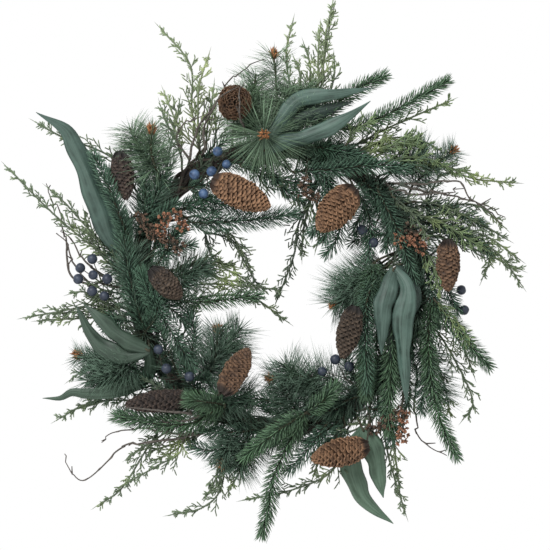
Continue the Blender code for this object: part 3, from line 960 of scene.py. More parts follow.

# %% [markdown]
# The nine spruce picks sweep clockwise round the ring. Those that lie on it have finer, denser
# needles, and those that reach out past it have stouter ones. Several get a brighter copy of the
# spruce finish, which is painted light where the light falls on their combs.

# %% The spruce picks
SPRUCES = {
    "spruce_top_right": (
        (305, 153, 20),
        [
            [(312, 132, 18), (346, 97, 20), (389, 74, 22)],
            [(312, 132, 18), (362, 126, 26), (408, 104, 26), (451, 79, 20)],
        ],
    ),
    "spruce_top": ((282, 148, -20), [[(292, 172, 22), (330, 170, 30), (370, 166, 36), (412, 170, 34)]]),
    "spruce_inner_top": ((170, 200, 0), [[(185, 222, 24), (215, 223, 30), (260, 219, 32), (300, 213, 26)]]),
    "spruce_inner_left": (
        (140, 300, -30),
        [[(172, 300, 16), (205, 302, 22), (235, 298, 24), (265, 295, 20)]],
    ),
    "spruce_left": (
        (142, 322, 20),
        [
            [(146, 332, 26), (134, 292, 34), (126, 250, 34), (122, 212, 30)],
            [(146, 332, 26), (158, 312, 42), (149, 290, 42), (140, 268, 37)],
        ],
    ),
    "spruce_right": (
        (412, 295, 40),
        [
            [(430, 300, 22), (447, 318, 28), (471, 347, 28), (492, 370, 22)],
            [(430, 300, 22), (428, 352, 34), (437, 411, 34), (458, 461, 26)],
        ],
    ),
    "spruce_inner_right": (
        (398, 250, -20),
        [
            [(374, 262, 30), (366, 300, 36), (365, 350, 38), (366, 400, 34)],
            [(374, 262, 30), (392, 305, 34), (390, 370, 36), (388, 436, 34)],
        ],
    ),
    "spruce_bottom": (
        (318, 420, 0),
        [
            [(306, 412, 36), (282, 456, 36), (273, 480, 36), (269, 505, 34), (261, 539, 28)],
            [(306, 412, 36), (275, 432, 48), (240, 460, 40)],
            [(306, 412, 36), (325, 398, 44), (338, 380, 40)],
        ],
    ),
    "spruce_bottom_left": (
        (225, 414, 0),
        [
            [(225, 404, 34), (205, 401, 52), (183, 398, 56)],
            [(225, 404, 34), (190, 423, 34), (150, 422, 32), (112, 415, 26)],
        ],
    ),
}
FINE_SPRUCES = ["spruce_left", "spruce_bottom_left", "spruce_inner_right", "spruce_inner_top"]
STOUT_SPRUCES = ["spruce_top", "spruce_inner_left"]
LONG_SPRUCES = ["spruce_top_right", "spruce_right", "spruce_bottom"]
# These sprays take the painted light copy of the spruce finish.
LIT_SPRUCES = ["spruce_inner_left", "spruce_bottom_left", "spruce_inner_right", *LONG_SPRUCES]
SPRUCE_FINISH = {title: SPRUCE_LIT for title in LIT_SPRUCES}
SPRUCE_KINDS = [
    (FINE_SPRUCES, fine_spruce, 0),
    (STOUT_SPRUCES, spruce_branch, 20),
    (LONG_SPRUCES, long_spruce, 40),
]
for titles, branch, seed in SPRUCE_KINDS:
    picks(chosen(SPRUCES, titles), branch, [SPRUCE, STEM], "spruce", seed, SPRUCE_FINISH)

# %% [markdown]
# ## Long needled pine
#
# Pine needles are more than three times as long and only half as thick, in airy tufts that end in
# a brown bud. Rows would look combed here, so the angles round the stem are random, the needles
# lean more forward towards the bud, and each bends a little. A spray that points at the viewer
# opens like a star and sags.

# %% A pine bud
BUD_LENGTH = 0.0088
BUD_SCALES = 64


def pine_bud(pile, tip, way, rng):
    """Brown papery scales, packed into a bud at the end of a spray."""
    side = unit(np.cross(way, [0.3, 0.2, 0.9]))
    spin = rng.uniform(0.0, FULL_TURN, BUD_SCALES)
    radial = turned(spin, side, np.cross(way, side))
    lean = np.radians(rng.uniform(5.0, 70.0, BUD_SCALES))
    spread = unit(turned(lean, way, radial))
    base = tip - way * rng.uniform(0.0, 0.009, BUD_SCALES)[:, None] + radial * 0.0012
    tone = tones(rng, 0.5, 0.25, BUD_SCALES)
    size = BUD_LENGTH * rng.uniform(0.45, 1.0, BUD_SCALES)
    darts(pile, base, spread, unit(np.cross(spread, radial)), size, 0.0012, 2, tone)


print("a bud has", BUD_SCALES, "scales")

# %% A pine branch
PINE_NEEDLE = 0.00041
PINE_LEAN = 76.0


def pine_branch(pile, points, rng, length=0.052, tufts=26, each=20, bud=True, curl=0.05):
    """A stem with tufts of long needles, and a bud at its end."""
    route = walk(points, 0.003)
    count = len(route)
    tube(pile, route, 0.0014, STEM_SIDES, 1)
    along, fronts, sideways = directions(route)
    share = np.repeat(np.linspace(0.05, 0.95, tufts), each)
    place = (share * (count - 1)).astype(int)
    total = len(place)
    radial = turned(rng.uniform(0.0, FULL_TURN, total), fronts[place], sideways[place])
    facing = max(0.0, float(along[-1] @ FRONT))
    lean = np.radians(PINE_LEAN - 20.0 * share + 24.0 * facing + rng.normal(0.0, 8.0, total))
    way = unit(turned(lean, along[place], radial))
    way = unit(way - UP * 0.55 * facing)
    size = length * rng.uniform(0.62, 1.05, total) * (1.0 - 0.35 * share * (1.0 - facing) + 0.1 * facing)
    bend = rng.normal(0.0, 0.035, (total, 3)) + along[place] * curl * (1.0 - facing)
    tone = tones(rng, 0.5, 0.24, total)
    wide = unit(np.cross(way, radial))
    darts(pile, route[place], way, wide, size, PINE_NEEDLE, 0, tone, bend=bend)
    if bud:
        pine_bud(pile, route[-1], along[-1], rng)


short_pine = partial(pine_branch, length=0.035)
airy_pine = partial(pine_branch, length=0.058, each=15, curl=-0.14)
plain_pine = partial(pine_branch, bud=False)
plain_airy_pine = partial(pine_branch, length=0.054, each=16, bud=False, curl=-0.10)
print("a pine branch has", 26 * 20, "needles")

# %% [markdown]
# Eight pine picks break the outline or hang into the open middle. The two at the top are more open
# than the others, and their paler finish is painted light, where the light comes through them.

# %% The pine sprays
PINES = {
    "pine_top_left": ((168, 188, 30), [[(160, 178, 24), (152, 155, 34), (152, 128, 34)]]),
    "pine_top": (
        (268, 150, 60),
        [
            [(270, 142, 14), (276, 110, 16), (276, 80, 18), (273, 52, 16)],
            [(270, 142, 14), (265, 136, 36), (264, 135, 58)],
        ],
    ),
    "pine_right_top": ((398, 212, 60), [[(412, 186, 14), (432, 168, 18), (455, 150, 18)]]),
    "pine_inner_right": (
        (404, 268, -50),
        [[(384, 272, 18), (370, 281, 20), (350, 294, 22), (332, 306, 22)]],
    ),
    "pine_inner_bottom": (
        (356, 400, -50),
        [[(346, 388, 18), (330, 378, 20), (298, 376, 24), (268, 378, 24)]],
    ),
    "pine_inner_left": ((180, 385, -40), [[(202, 380, 18), (214, 365, 22), (217, 345, 24), (218, 327, 24)]]),
    "pine_left": ((150, 345, 60), [[(138, 352, 14), (118, 358, 18), (98, 358, 20), (76, 355, 18)]]),
    "pine_bottom": ((240, 421, 60), [[(232, 436, 20), (227, 450, 24), (221, 465, 26)]]),
}
PINE_KINDS = [
    (["pine_right_top", "pine_left", "pine_bottom"], short_pine, PINE, 50),
    (["pine_top_left", "pine_top"], airy_pine, PINE_LIT, 55),
    (["pine_inner_right", "pine_inner_bottom", "pine_inner_left"], pine_branch, PINE, 60),
]
for titles, branch, finish, seed in PINE_KINDS:
    picks(chosen(PINES, titles), branch, [finish, STEM, BUD], "pine", seed)

# %% [markdown]
# ## Cedar
#
# Cedar is flat: side shoots leave the rib left and right in turn, smaller shoots leave those, and
# tiny scale leaves cover everything. A card with a picture of a sprig is the quick way, but looks
# like paper from the side. So the same rule runs at two sizes with real shoots, and the scales are
# spikes laid almost flat on them.

# %% Cedar shoots
SCALE_SPREAD = 0.26
SCALE_LENGTH = (0.0018, 0.0025)


def alternate(count):
    """Left and right in turn, as plus and minus one."""
    return np.where(np.arange(count) % 2 == 0, 1.0, -1.0)


def shoots(pile, base, way, wide, length, half_width, rng, scales, lift=0.0):
    """Knobbly shoots: a blunt rod each, with small scales lying close to it left and right."""
    tone = tones(rng, 0.5, 0.17, len(base), lift)
    bend = wide * rng.normal(0.0, 0.12, len(base))[:, None]
    darts(pile, base, way, wide, length, half_width, 0, tone, BLUNT_SHOOT, bend=bend, thickness=0.9)
    owner = np.repeat(np.arange(len(base)), scales)
    share = np.tile(np.linspace(0.08, 0.62, scales), len(base))
    sign = np.tile(alternate(scales), len(base))
    start = base[owner] + way[owner] * (length[owner] * share)[:, None]
    start = start + bend[owner] * (length[owner] * share**2)[:, None]
    other = np.cross(way, wide)[owner] * rng.normal(0.0, 0.2, len(owner))[:, None]
    spread = unit(way[owner] + wide[owner] * (sign * SCALE_SPREAD)[:, None] + other)
    size = rng.uniform(*SCALE_LENGTH, len(owner))
    spikes(pile, start, spread, unit(np.cross(spread, FRONT)), size, 0.0008, 0, tone[owner])


print("the first four shoots point", alternate(4))

# %% The rib and the tip of a sprig


def rib_scales(pile, route, ways, share, rng):
    """Scales lying close along the rib, past its bare foot."""
    along, fronts, sideways = ways
    count = len(route)
    bare = max(2, count // 8)
    owner = np.repeat(np.arange(bare, count - 1), 2)
    side = sideways[owner] * alternate(len(owner))[:, None] * 0.5
    close = unit(along[owner] + side + fronts[owner] * rng.normal(0.1, 0.3, len(owner))[:, None])
    size = rng.uniform(0.0026, 0.0038, len(owner))
    dim = tones(rng, 0.1, 0.15, len(owner), 0.35 * share[owner])
    spikes(pile, route[owner], close, unit(np.cross(close, FRONT)), size, 0.0009, 0, dim)


def tip_shoots(pile, route, ways, rng):
    """Four short shoots and a fine point, which close the end of a sprig."""
    along, fronts, sideways = ways
    last = len(route) - 1 - np.array([0, 2, 3, 5])
    way = unit(along[last] + sideways[last] * np.array([0.0, 0.5, -0.5, 0.6])[:, None])
    ends = np.array([0.0062, 0.0042, 0.0050, 0.0060]) * rng.uniform(0.8, 1.1)
    shoots(pile, route[last], way, unit(np.cross(way, fronts[last])), ends, 0.00085, rng, 3, 0.4)
    darts(pile, route[-1:], along[-1:], sideways[-1:], 0.0130, 0.00042, 0, 0.3)


print("a rib of 40 points is bare for the first", max(2, 40 // 8))

# %% A cedar branch
CEDAR_REACH = 0.0290
SHOOT_GAP = 3
SMALL_SHOOTS = 4


def side_shoots(pile, route, ways, share, rng):
    """Shoots to the left and right of the rib, and smaller ones on each of them."""
    along, fronts, sideways = ways
    count = len(route)
    place = np.arange(1, count - 1, SHOOT_GAP)
    place = np.clip(place + rng.integers(-1, 2, len(place)), 1, count - 2)
    total = len(place)
    lean = np.radians(rng.normal(27.0, 7.0, total))
    out = sideways[place] * alternate(total)[:, None]
    out = out + fronts[place] * rng.normal(0.0, 0.35, total)[:, None]
    way = unit(turned(lean, along[place], unit(out)))
    size = CEDAR_REACH * (1.0 - 0.74 * share[place] ** 1.3) * rng.uniform(0.4, 1.1, total)
    wide = unit(np.cross(way, fronts[place]))
    lift = 0.6 * share[place] - 0.3
    shoots(pile, route[place], way, wide, size, 0.00085, rng, 5, lift)
    owner = np.repeat(np.arange(total), SMALL_SHOOTS)
    at_share = np.tile(np.linspace(0.22, 0.84, SMALL_SHOOTS), total)
    odd = np.where(rng.uniform(size=len(owner)) < 0.15, -1.0, 1.0)
    base = route[place][owner] + way[owner] * (size[owner] * at_share)[:, None]
    turn = np.radians(rng.normal(29.0, 8.0, len(owner))) * np.tile(alternate(SMALL_SHOOTS), total) * odd
    small = turned(turn, way[owner], wide[owner])
    small = unit(small + fronts[place][owner] * rng.normal(0.0, 0.25, len(owner))[:, None])
    short = 0.0022 + size[owner] * 0.46 * (1.1 - 0.6 * at_share) * rng.uniform(0.5, 1.2, len(owner))
    wide = unit(np.cross(small, fronts[place][owner]))
    shoots(pile, base, small, wide, short, 0.00090, rng, 2, lift[owner])


def cedar_branch(pile, points, rng):
    """One flat sprig: its rib, the scales on it, its shoots and its tip."""
    route = walk(points, 0.0021)[:-2]
    share = np.linspace(0.0, 1.0, len(route))
    tube(pile, route, 0.0012 - 0.0005 * share, 5, 0, tone=0.0)
    ways = directions(route)
    rib_scales(pile, route, ways, share, rng)
    side_shoots(pile, route, ways, share, rng)
    tip_shoots(pile, route, ways, rng)


sample = Pile()
cedar_branch(sample, [plan(0, 0, 0), plan(60, 0, 0), plan(90, 10, 0)], np.random.default_rng(0))
print("a sprig of 10 cm has", sample.size, "points")

# %% [markdown]
# The large sprigs make most of the outline, and two picks hang into the open middle. Those in the
# shade are darker and some at the top are yellower or paler, so they have finishes of their own.

# %% The cedar sprigs
CEDARS = {
    "cedar_top_left": ((155, 220, 60), [[(146, 208, 12), (115, 160, 13), (62, 137, 16), (35, 122, 12)]]),
    "cedar_left": (
        (138, 276, 60),
        [
            [(128, 275, 12), (102, 254, 18), (56, 216, 18), (6, 166, 10)],
            [(128, 275, 12), (100, 300, 13), (72, 309, 18), (24, 318, 12)],
        ],
    ),
    "cedar_bottom_left": (
        (186, 392, 60),
        [
            [(176, 404, 12), (145, 452, 16), (122, 488, 16), (97, 506, 12)],
            [(176, 404, 12), (182, 448, 24), (158, 465, 24), (125, 484, 20)],
            [(176, 404, 12), (118, 400, 9), (85, 405, 10), (57, 420, 10)],
        ],
    ),
    "cedar_bottom": ((222, 413, 70), [[(226, 432, 12), (222, 485, 14), (203, 507, 14), (170, 515, 10)]]),
    "cedar_bottom_right": (
        (345, 408, 70),
        [[(340, 442, 14), (330, 472, 22), (290, 490, 24), (243, 500, 18)]],
    ),
    "cedar_right_low": ((372, 390, 60), [[(380, 410, 12), (386, 445, 18), (392, 470, 20), (406, 515, 14)]]),
    "cedar_right_mid": ((410, 310, 75), [[(424, 316, 10), (446, 345, 14), (472, 398, 16), (463, 420, 12)]]),
    "cedar_right": (
        (407, 240, 70),
        [
            [(422, 232, 14), (448, 226, 24), (485, 236, 24), (520, 260, 16)],
            [(422, 232, 14), (458, 234, 20), (496, 252, 18), (522, 286, 12)],
            [(422, 232, 14), (448, 208, 14), (478, 206, 14), (505, 228, 10)],
            [(422, 232, 14), (440, 176, 10), (480, 180, 10), (517, 183, 6)],
        ],
    ),
    "cedar_top_right": (
        (335, 160, 70),
        [
            [(348, 150, 10), (380, 132, 14), (415, 116, 14), (452, 100, 10)],
            [(348, 150, 10), (375, 152, 22), (400, 148, 24), (422, 134, 20)],
        ],
    ),
    "cedar_top": (
        (296, 150, 75),
        [
            [(300, 128, 10), (320, 90, 10), (325, 40, 10), (333, 1, 8)],
            [(300, 128, 10), (292, 95, 8), (286, 55, 8), (293, 20, 6)],
        ],
    ),
    "cedar_upper_left": (
        (205, 170, 70),
        [
            [(200, 150, 10), (192, 110, 10), (190, 65, 10), (159, 27, 8)],
            [(200, 150, 10), (198, 112, 16), (200, 84, 18), (209, 54, 14)],
            [(200, 150, 10), (180, 130, 16), (172, 112, 18), (164, 92, 14)],
        ],
    ),
    "cedar_inner_left": (
        (178, 212, -50),
        [
            [(205, 232, 12), (232, 240, 14), (246, 264, 14), (258, 286, 12)],
            [(205, 232, 12), (212, 256, 16), (226, 264, 18), (237, 262, 16)],
        ],
    ),
    "cedar_inner_top": ((322, 158, -60), [[(312, 196, 14), (298, 226, 16), (294, 255, 16), (276, 303, 12)]]),
}
CEDAR_FINISH = {
    "cedar_inner_left": CEDAR_SHADED,
    "cedar_inner_top": CEDAR_SHADED,
    "cedar_top_right": CEDAR_YELLOW,
    "cedar_upper_left": CEDAR_PALE,
    "cedar_top": CEDAR_PALE,
}
picks(CEDARS, cedar_branch, [CEDAR, STEM], "cedar", 100, CEDAR_FINISH)

# %% [markdown]
# ## Long cloth leaves
#
# Each leaf is a strip of cloth with a wired midrib. A cloth simulation could drape it, but a wired
# leaf keeps the bend it was given. So a grid of points follows the rib: its width swells and
# tapers, its halves fall back a little from the rib, and its edge waves. A second layer just behind
# the first gives it the thickness of cloth.

# %% A leaf
LEAF_COLUMNS = np.linspace(-1.0, 1.0, 11)
LEAF_FOLD = 0.42
CLOTH_HALF = 0.00022


def leaf_width(share, half_width):
    """Half the width along a leaf: narrow at the stalk, widest before the middle, then a long taper."""
    width = half_width * np.clip(np.sin(math.pi * (0.05 + 0.945 * share) ** 0.8), 0.0, 1.0) ** 0.75
    return width * (1.0 - 0.45 * share**5)


def leaf_grid(route, share, half_width, rng):
    """A grid of points over the leaf, with its folds and waves."""
    _, fronts, sideways = directions(route)
    width = leaf_width(share, half_width)
    phase = rng.uniform(0.0, 6.3, 4)
    columns = LEAF_COLUMNS
    left = 1.0 + 0.13 * np.sin(11.0 * share + phase[0]) + 0.05 * np.sin(27.0 * share + phase[1])
    right = 1.0 + 0.13 * np.sin(12.0 * share + phase[2]) + 0.05 * np.sin(25.0 * share + phase[3])
    reach = np.where(columns[None] < 0.0, left[:, None], right[:, None]) * width[:, None] * columns[None]
    lift = LEAF_FOLD * np.abs(columns)[None] ** 1.4 * (1.0 + 0.5 * np.sin(6.0 * share + phase[2]))[:, None]
    lift = lift + 0.16 * np.sin(13.0 * share + phase[1])[:, None] * columns[None]
    lift = lift + 0.10 * np.sin(21.0 * share + phase[0])[:, None] * columns[None] ** 2
    lift = lift + 0.07 * np.sin(9.0 * columns + phase[3])[None] * np.ones((len(route), 1))
    grid = route[:, None] + sideways[:, None] * reach[:, :, None]
    return grid - fronts[:, None] * (width[:, None] * lift)[:, :, None]


def blade(pile, points, rng, half_width, tone):
    """A cloth leaf along a route, with a face, a back and an edge all round."""
    route = walk(points, 0.004)
    rows = len(route)
    columns = len(LEAF_COLUMNS)
    share = np.linspace(0.0, 1.0, rows)
    grid = leaf_grid(route, share, half_width, rng)
    face = unit(np.cross(np.gradient(grid, axis=0), np.gradient(grid, axis=1)))
    thick = face * CLOTH_HALF
    layers = np.concatenate([(grid + thick).reshape(-1, 3), (grid - thick).reshape(-1, 3)])
    total = rows * columns
    outer = strip_faces(rows, columns)
    edge = np.arange(rows) * columns
    rim = np.concatenate([edge + columns - 1, edge[::-1]])
    after = np.roll(rim, -1)
    sides = np.stack([rim, rim + total, after + total, after], axis=1)
    shares = np.tile(np.repeat(share, columns), 2)
    across = np.tile(np.tile(LEAF_COLUMNS, rows), 2)
    pile.add(layers, [outer, outer[:, ::-1] + total, sides], 0, tone, shares, across)


print("half widths along a leaf:", leaf_width(np.linspace(0.0, 1.0, 5), 0.010).round(4))

# %% [markdown]
# Five sprays carry thirteen leaves. The tables give each leaf's half width and how light it is,
# since a leaf in front catches the light and one deep in the foliage doesn't.

# %% The leaf sprays
LEAVES = {
    "leaf_spray_top_left": (
        (140, 262, 40),
        [
            [
                *[(130, 254, 14), (114, 240, 28), (105, 211, 36), (91, 176, 38)],
                *[(77, 149, 38), (65, 129, 36), (37, 113, 34)],
            ],
        ],
    ),
    "leaf_spray_top": (
        (258, 147, 0),
        [
            [(262, 152, 40), (284, 143, 46), (305, 138, 50), (330, 128, 52), (352, 115, 50), (370, 102, 46)],
            [(262, 152, 40), (280, 124, 40), (296, 103, 40), (314, 97, 40), (340, 94, 40), (373, 89, 36)],
            [(262, 152, 40), (282, 128, 34), (303, 116, 32), (328, 109, 30), (353, 102, 28)],
        ],
    ),
    "leaf_spray_right": (
        (404, 258, 20),
        [
            [(394, 268, 44), (388, 286, 54), (382, 316, 58), (381, 354, 54)],
            [(394, 268, 44), (406, 288, 52), (402, 318, 56), (402, 350, 56), (406, 403, 48)],
            [(394, 268, 44), (408, 280, 38), (415, 300, 36), (412, 320, 34)],
            [(394, 268, 44), (391, 300, 40), (389, 330, 40), (390, 362, 38)],
        ],
    ),
    "leaf_spray_bottom": (
        (350, 404, 30),
        [
            [(362, 428, 34), (370, 442, 36), (375, 456, 36), (378, 475, 34), (383, 497, 28)],
            [(362, 428, 34), (354, 446, 28), (351, 463, 28), (357, 487, 28), (368, 503, 26), (393, 523, 22)],
        ],
    ),
    "leaf_spray_left": (
        (148, 336, 10),
        [
            [(150, 350, 44), (131, 342, 50), (114, 331, 50), (100, 317, 50), (84, 303, 44)],
            [(150, 350, 44), (127, 356, 42), (107, 349, 42), (91, 333, 40), (77, 305, 36)],
            [
                *[(150, 350, 44), (148, 374, 18), (132, 386, 22), (106, 393, 32)],
                *[(86, 393, 32), (72, 392, 30), (60, 398, 24), (43, 398, 16)],
            ],
        ],
    ),
}
LEAF_WIDTHS = {
    "leaf_spray_top_left": [0.0146],
    "leaf_spray_top": [0.0094, 0.0092, 0.0110],
    "leaf_spray_right": [0.0112, 0.0110, 0.0090, 0.0080],
    "leaf_spray_bottom": [0.0120, 0.0116],
    "leaf_spray_left": [0.0092, 0.0098, 0.0084],
}
LEAF_LIGHT = {
    "leaf_spray_top_left": [0.75],
    "leaf_spray_top": [1.0, 1.0, 0.15],
    "leaf_spray_right": [0.8, 1.0, 0.35, 0.1],
    "leaf_spray_bottom": [1.0, 1.0],
    "leaf_spray_left": [0.3, 0.25, 0.45],
}
GREEN_SPRAYS = ("leaf_spray_left", "leaf_spray_bottom")
for title, (foot, branches) in LEAVES.items():
    pile = Pile()
    sizes = iter(zip(LEAF_WIDTHS[title], LEAF_LIGHT[title]))
    leaf_rng = np.random.default_rng(200 + len(title))
    # Each leaf's light value goes in as its tone mark, as painted light and shade.
    pick(pile, foot, branches, lambda *given: blade(*given, *next(sizes)), leaf_rng)
    cloth = LEAF_GREEN if title in GREEN_SPRAYS else LEAF
    make_piece(title + "_leaf", pile, [cloth, STEM], [title])
print("leaf triangles:", sum(TRIANGLES[title + "_leaf"] for title in LEAVES))

# %% [markdown]
# ## Pine cones
#
# The scales of a cone grow one after another, each turned by the golden angle from the last, which
# gives the crossing spirals; scales set in rings would look like roof tiles. Each scale is a small
# curved plate that starts inside the cone, climbs towards the tip and thickens before its lip.

# %% One cone scale
SCALE_ROWS = np.array([0.0, 0.45, 0.75, 0.92, 1.0])
SCALE_OUTLINE = np.array([0.5, 0.92, 1.0, 0.86, 0.5])
SCALE_THICK = np.array([0.0004, 0.0004, 0.0007, 0.0008, 0.0002])
SCALE_COLUMNS = np.array([-1.0, 0.0, 1.0])
LIP_CURL = -0.0012
SCALE_CUP = 0.0011


def cone_scale(pile, foot, tip, round_way, half, rng):
    """One woody scale from inside the cone to its lip, cupped across, its lip bent to the tip."""
    way = unit(tip - foot)
    up_face = np.cross(round_way, way)
    middle = foot + (tip - foot) * SCALE_ROWS[:, None]
    curl = LIP_CURL * SCALE_ROWS**3
    cup = SCALE_CUP * SCALE_COLUMNS**2
    across = round_way * half * (SCALE_OUTLINE[:, None] * SCALE_COLUMNS[None])[:, :, None]
    skin = middle[:, None] + across + up_face * (curl[:, None] + cup[None])[:, :, None]
    lift = up_face * SCALE_THICK[:, None, None]
    layers = np.concatenate([(skin + lift).reshape(-1, 3), (skin - lift).reshape(-1, 3)])
    rows, columns = len(SCALE_ROWS), len(SCALE_COLUMNS)
    total = rows * columns
    outer = strip_faces(rows, columns)
    left = np.arange(rows) * columns
    lip = left[-1] + np.arange(1, columns)
    rim = np.concatenate([left, lip, (left + columns - 1)[::-1][1:]])
    edge = np.stack([rim[:-1], rim[1:], rim[1:] + total, rim[:-1] + total], axis=1)
    shares = np.tile(np.repeat(SCALE_ROWS, columns), 2)
    sides = np.tile(np.tile(SCALE_COLUMNS, rows), 2)
    pile.add(layers, [outer[:, ::-1], outer + total, edge], 0, rng.uniform(0.0, 1.0), shares, sides)


print("a scale has", 2 * len(SCALE_ROWS) * len(SCALE_COLUMNS), "points")

# %% A whole cone
GOLDEN_ANGLE = math.pi * (3.0 - math.sqrt(5.0))
SCALES_PER_METRE = 11500.0
SCALE_HALF = 0.0048
USUAL_RADIUS = 0.018


def cone_swell(share):
    """The cone's outline: full near the wide end, narrowing to a tip closed like a dome."""
    return np.sin(math.pi * (0.76 - 0.67 * share)) ** 0.75 * np.sqrt(1.0 - share**8)


def cone_scales(pile, wide_end, narrow_end, radius, rng):
    """All the scales of a cone, from its wide end to its tip, round a core whose dark finish is painted
    shade.
    """
    axis = narrow_end - wide_end
    length = np.linalg.norm(axis)
    axis = axis / length
    side = unit(np.cross(axis, FRONT if abs(axis @ FRONT) < 0.9 else UP))
    other = np.cross(axis, side)
    count = int(SCALES_PER_METRE * radius)
    for index in range(count):
        height = 0.01 + 0.98 * ((index + 0.5) / count) ** 1.05
        spin = index * GOLDEN_ANGLE + rng.normal(0.0, 0.05)
        out = math.cos(spin) * side + math.sin(spin) * other
        rim = radius * float(cone_swell(height)) * rng.uniform(0.94, 1.07)
        climb = 0.0080 + 0.0040 * height
        foot = wide_end + axis * (height * length - climb) + out * rim * 0.28
        tip = wide_end + axis * (height * length + 0.0012) + out * rim
        half = SCALE_HALF * (rim / radius) ** 0.6 * (radius / USUAL_RADIUS) ** 0.5
        cone_scale(pile, foot, tip, np.cross(axis, out), half * rng.uniform(0.88, 1.1), rng)
    # The core takes the dark wire finish: painted shade in the hole between the scales.
    stops = np.linspace(0.02, 0.86, 10)
    core = wide_end + axis * (stops * length)[:, None]
    tube(pile, core, radius * 0.5 * cone_swell(stops), 10, 1)


print("a cone 36 mm thick has", int(SCALES_PER_METRE * USUAL_RADIUS), "scales")

# %% [markdown]
# Ten cones stand on short wires, and one of them points straight at the viewer. A row gives the
# foot of the wire, the wide end, the tip and half the thickness in grid squares. Those that catch
# the light are tan, and those in the shade are dull or dark.

# %% The cones
CONES = {
    "cone_top": ((228, 160, 0), (218, 183, 58), (270, 208, 62), 15.5),
    "cone_top_right": ((340, 166, -60), (350, 193, 58), (318, 231, 64), 17.0),
    "cone_upper_left": ((158, 206, 45), (121, 158, 30), (127, 200, 38), 11.0),
    "cone_left": ((141, 262, -60), (156, 273, 54), (182, 298, 52), 11.5),
    "cone_inner_left": ((205, 398, -20), (226, 388, 58), (249, 348, 50), 12.5),
    "cone_inner_right": ((400, 340, -40), (353, 312, 62), (342, 358, 64), 12.0),
    "cone_bottom": ((365, 391, 20), (362, 446, 52), (311, 458, 58), 14.0),
    "cone_right": ((416, 262, 50), (447, 246, 40), (447, 291, 42), 12.0),
    "cone_bottom_left": ((196, 402, 20), (184, 398, 38), (126, 404, 36), 11.0),
    "cone_top_end_on": ((236, 155, 50), (235, 104, 22), (235, 103, 66), 17.0),
}
CONE_FINISH = {
    "cone_top": CONE_LIT,
    "cone_top_right": CONE_LIT,
    "cone_bottom": CONE_LIT,
    "cone_left": CONE_SHADED,
    "cone_inner_right": CONE_SHADED,
    "cone_upper_left": CONE_SHADED_DARK,
    "cone_bottom_left": CONE_SHADED_DARK,
}
for seed, title in enumerate(CONES):
    foot_place, wide_place, narrow_place, half_squares = CONES[title]
    wide_end = plan(*wide_place)
    narrow_end = plan(*narrow_place)
    pile = Pile()
    cone_scales(pile, wide_end, narrow_end, half_squares * UNIT, np.random.default_rng(300 + seed))
    along = unit(narrow_end - wide_end)
    wire = walk([*seat(*foot_place), wide_end - along * 0.004, wide_end + along * 0.008], 0.004)
    tube(pile, wire, WIRE_RADIUS, STEM_SIDES, 1)
    make_piece(title + "_scales", pile, [CONE_FINISH.get(title, CONE_BROWN), WIRE], [title])
print("cone triangles:", sum(TRIANGLES[title + "_scales"] for title in CONES))

# %% [markdown]
# ## Berries
#
# A berry is a ball with a small dimple opposite its stalk, and thin wires gather the berries of a
# spray into one stem. A ready made sphere has no dimple, so the ball is turned round its own stalk,
# ring by ring.

# %% A berry and a spray of berries
BERRY_RADIUS = 0.0055
BERRY_RINGS = 12
BERRY_SIDES = 18
DIMPLE_DEPTH = 0.10
DIMPLE_WIDTH = 0.30
STALK_RADIUS = 0.0006


def ball(pile, middle, radius, away, tone):
    """A round fruit whose far end, away from its stalk, is dimpled."""
    away = unit(away)
    side = unit(np.cross(away, [0.31, 0.22, 0.92]))
    middles = []
    radii = []
    for turn in np.linspace(0.02, math.pi - 0.02, BERRY_RINGS):
        dimple = DIMPLE_DEPTH * math.exp(-((turn / DIMPLE_WIDTH) ** 2))
        middles.append(middle + away * radius * (math.cos(turn) - dimple))
        radii.append(radius * math.sin(turn))
    circle = turned(ring_angles(BERRY_SIDES), side, np.cross(away, side))
    skin = np.array(middles)[:, None] + circle[None] * np.array(radii)[:, None, None]
    start = np.arange(BERRY_RINGS - 1)[:, None] * BERRY_SIDES
    low = start + np.arange(BERRY_SIDES)[None]
    after = start + (np.arange(BERRY_SIDES)[None] + 1) % BERRY_SIDES
    faces = np.stack([low, low + BERRY_SIDES, after + BERRY_SIDES, after], axis=2).reshape(-1, 4)
    share = np.repeat(np.linspace(1.0, 0.0, BERRY_RINGS), BERRY_SIDES)
    pile.add(skin.reshape(-1, 3), [faces], 0, tone, share)


def berry_spray(pile, foot, knot_place, berry_places, rng):
    """A stem from the vine to a knot, and a wire from there to each berry."""
    knot = plan(*knot_place)
    tube(pile, walk([*seat(*foot), knot], 0.004), WIRE_RADIUS, STEM_SIDES, 1)
    for place in berry_places:
        fruit = plan(*place)
        wire = walk([knot, (knot + fruit) * 0.5 + rng.normal(0.0, 0.0012, 3), fruit], 0.003)
        tube(pile, wire, STALK_RADIUS, STEM_SIDES, 1)
        ball(pile, fruit, BERRY_RADIUS * rng.uniform(0.98, 1.08), fruit - knot, rng.uniform(0.3, 0.7))


print("a berry has", BERRY_RINGS * BERRY_SIDES, "points")

# %% [markdown]
# Four sprays carry the berries that stand out, and five more sit deep in the foliage. A row gives
# the foot, the knot and then the berries.

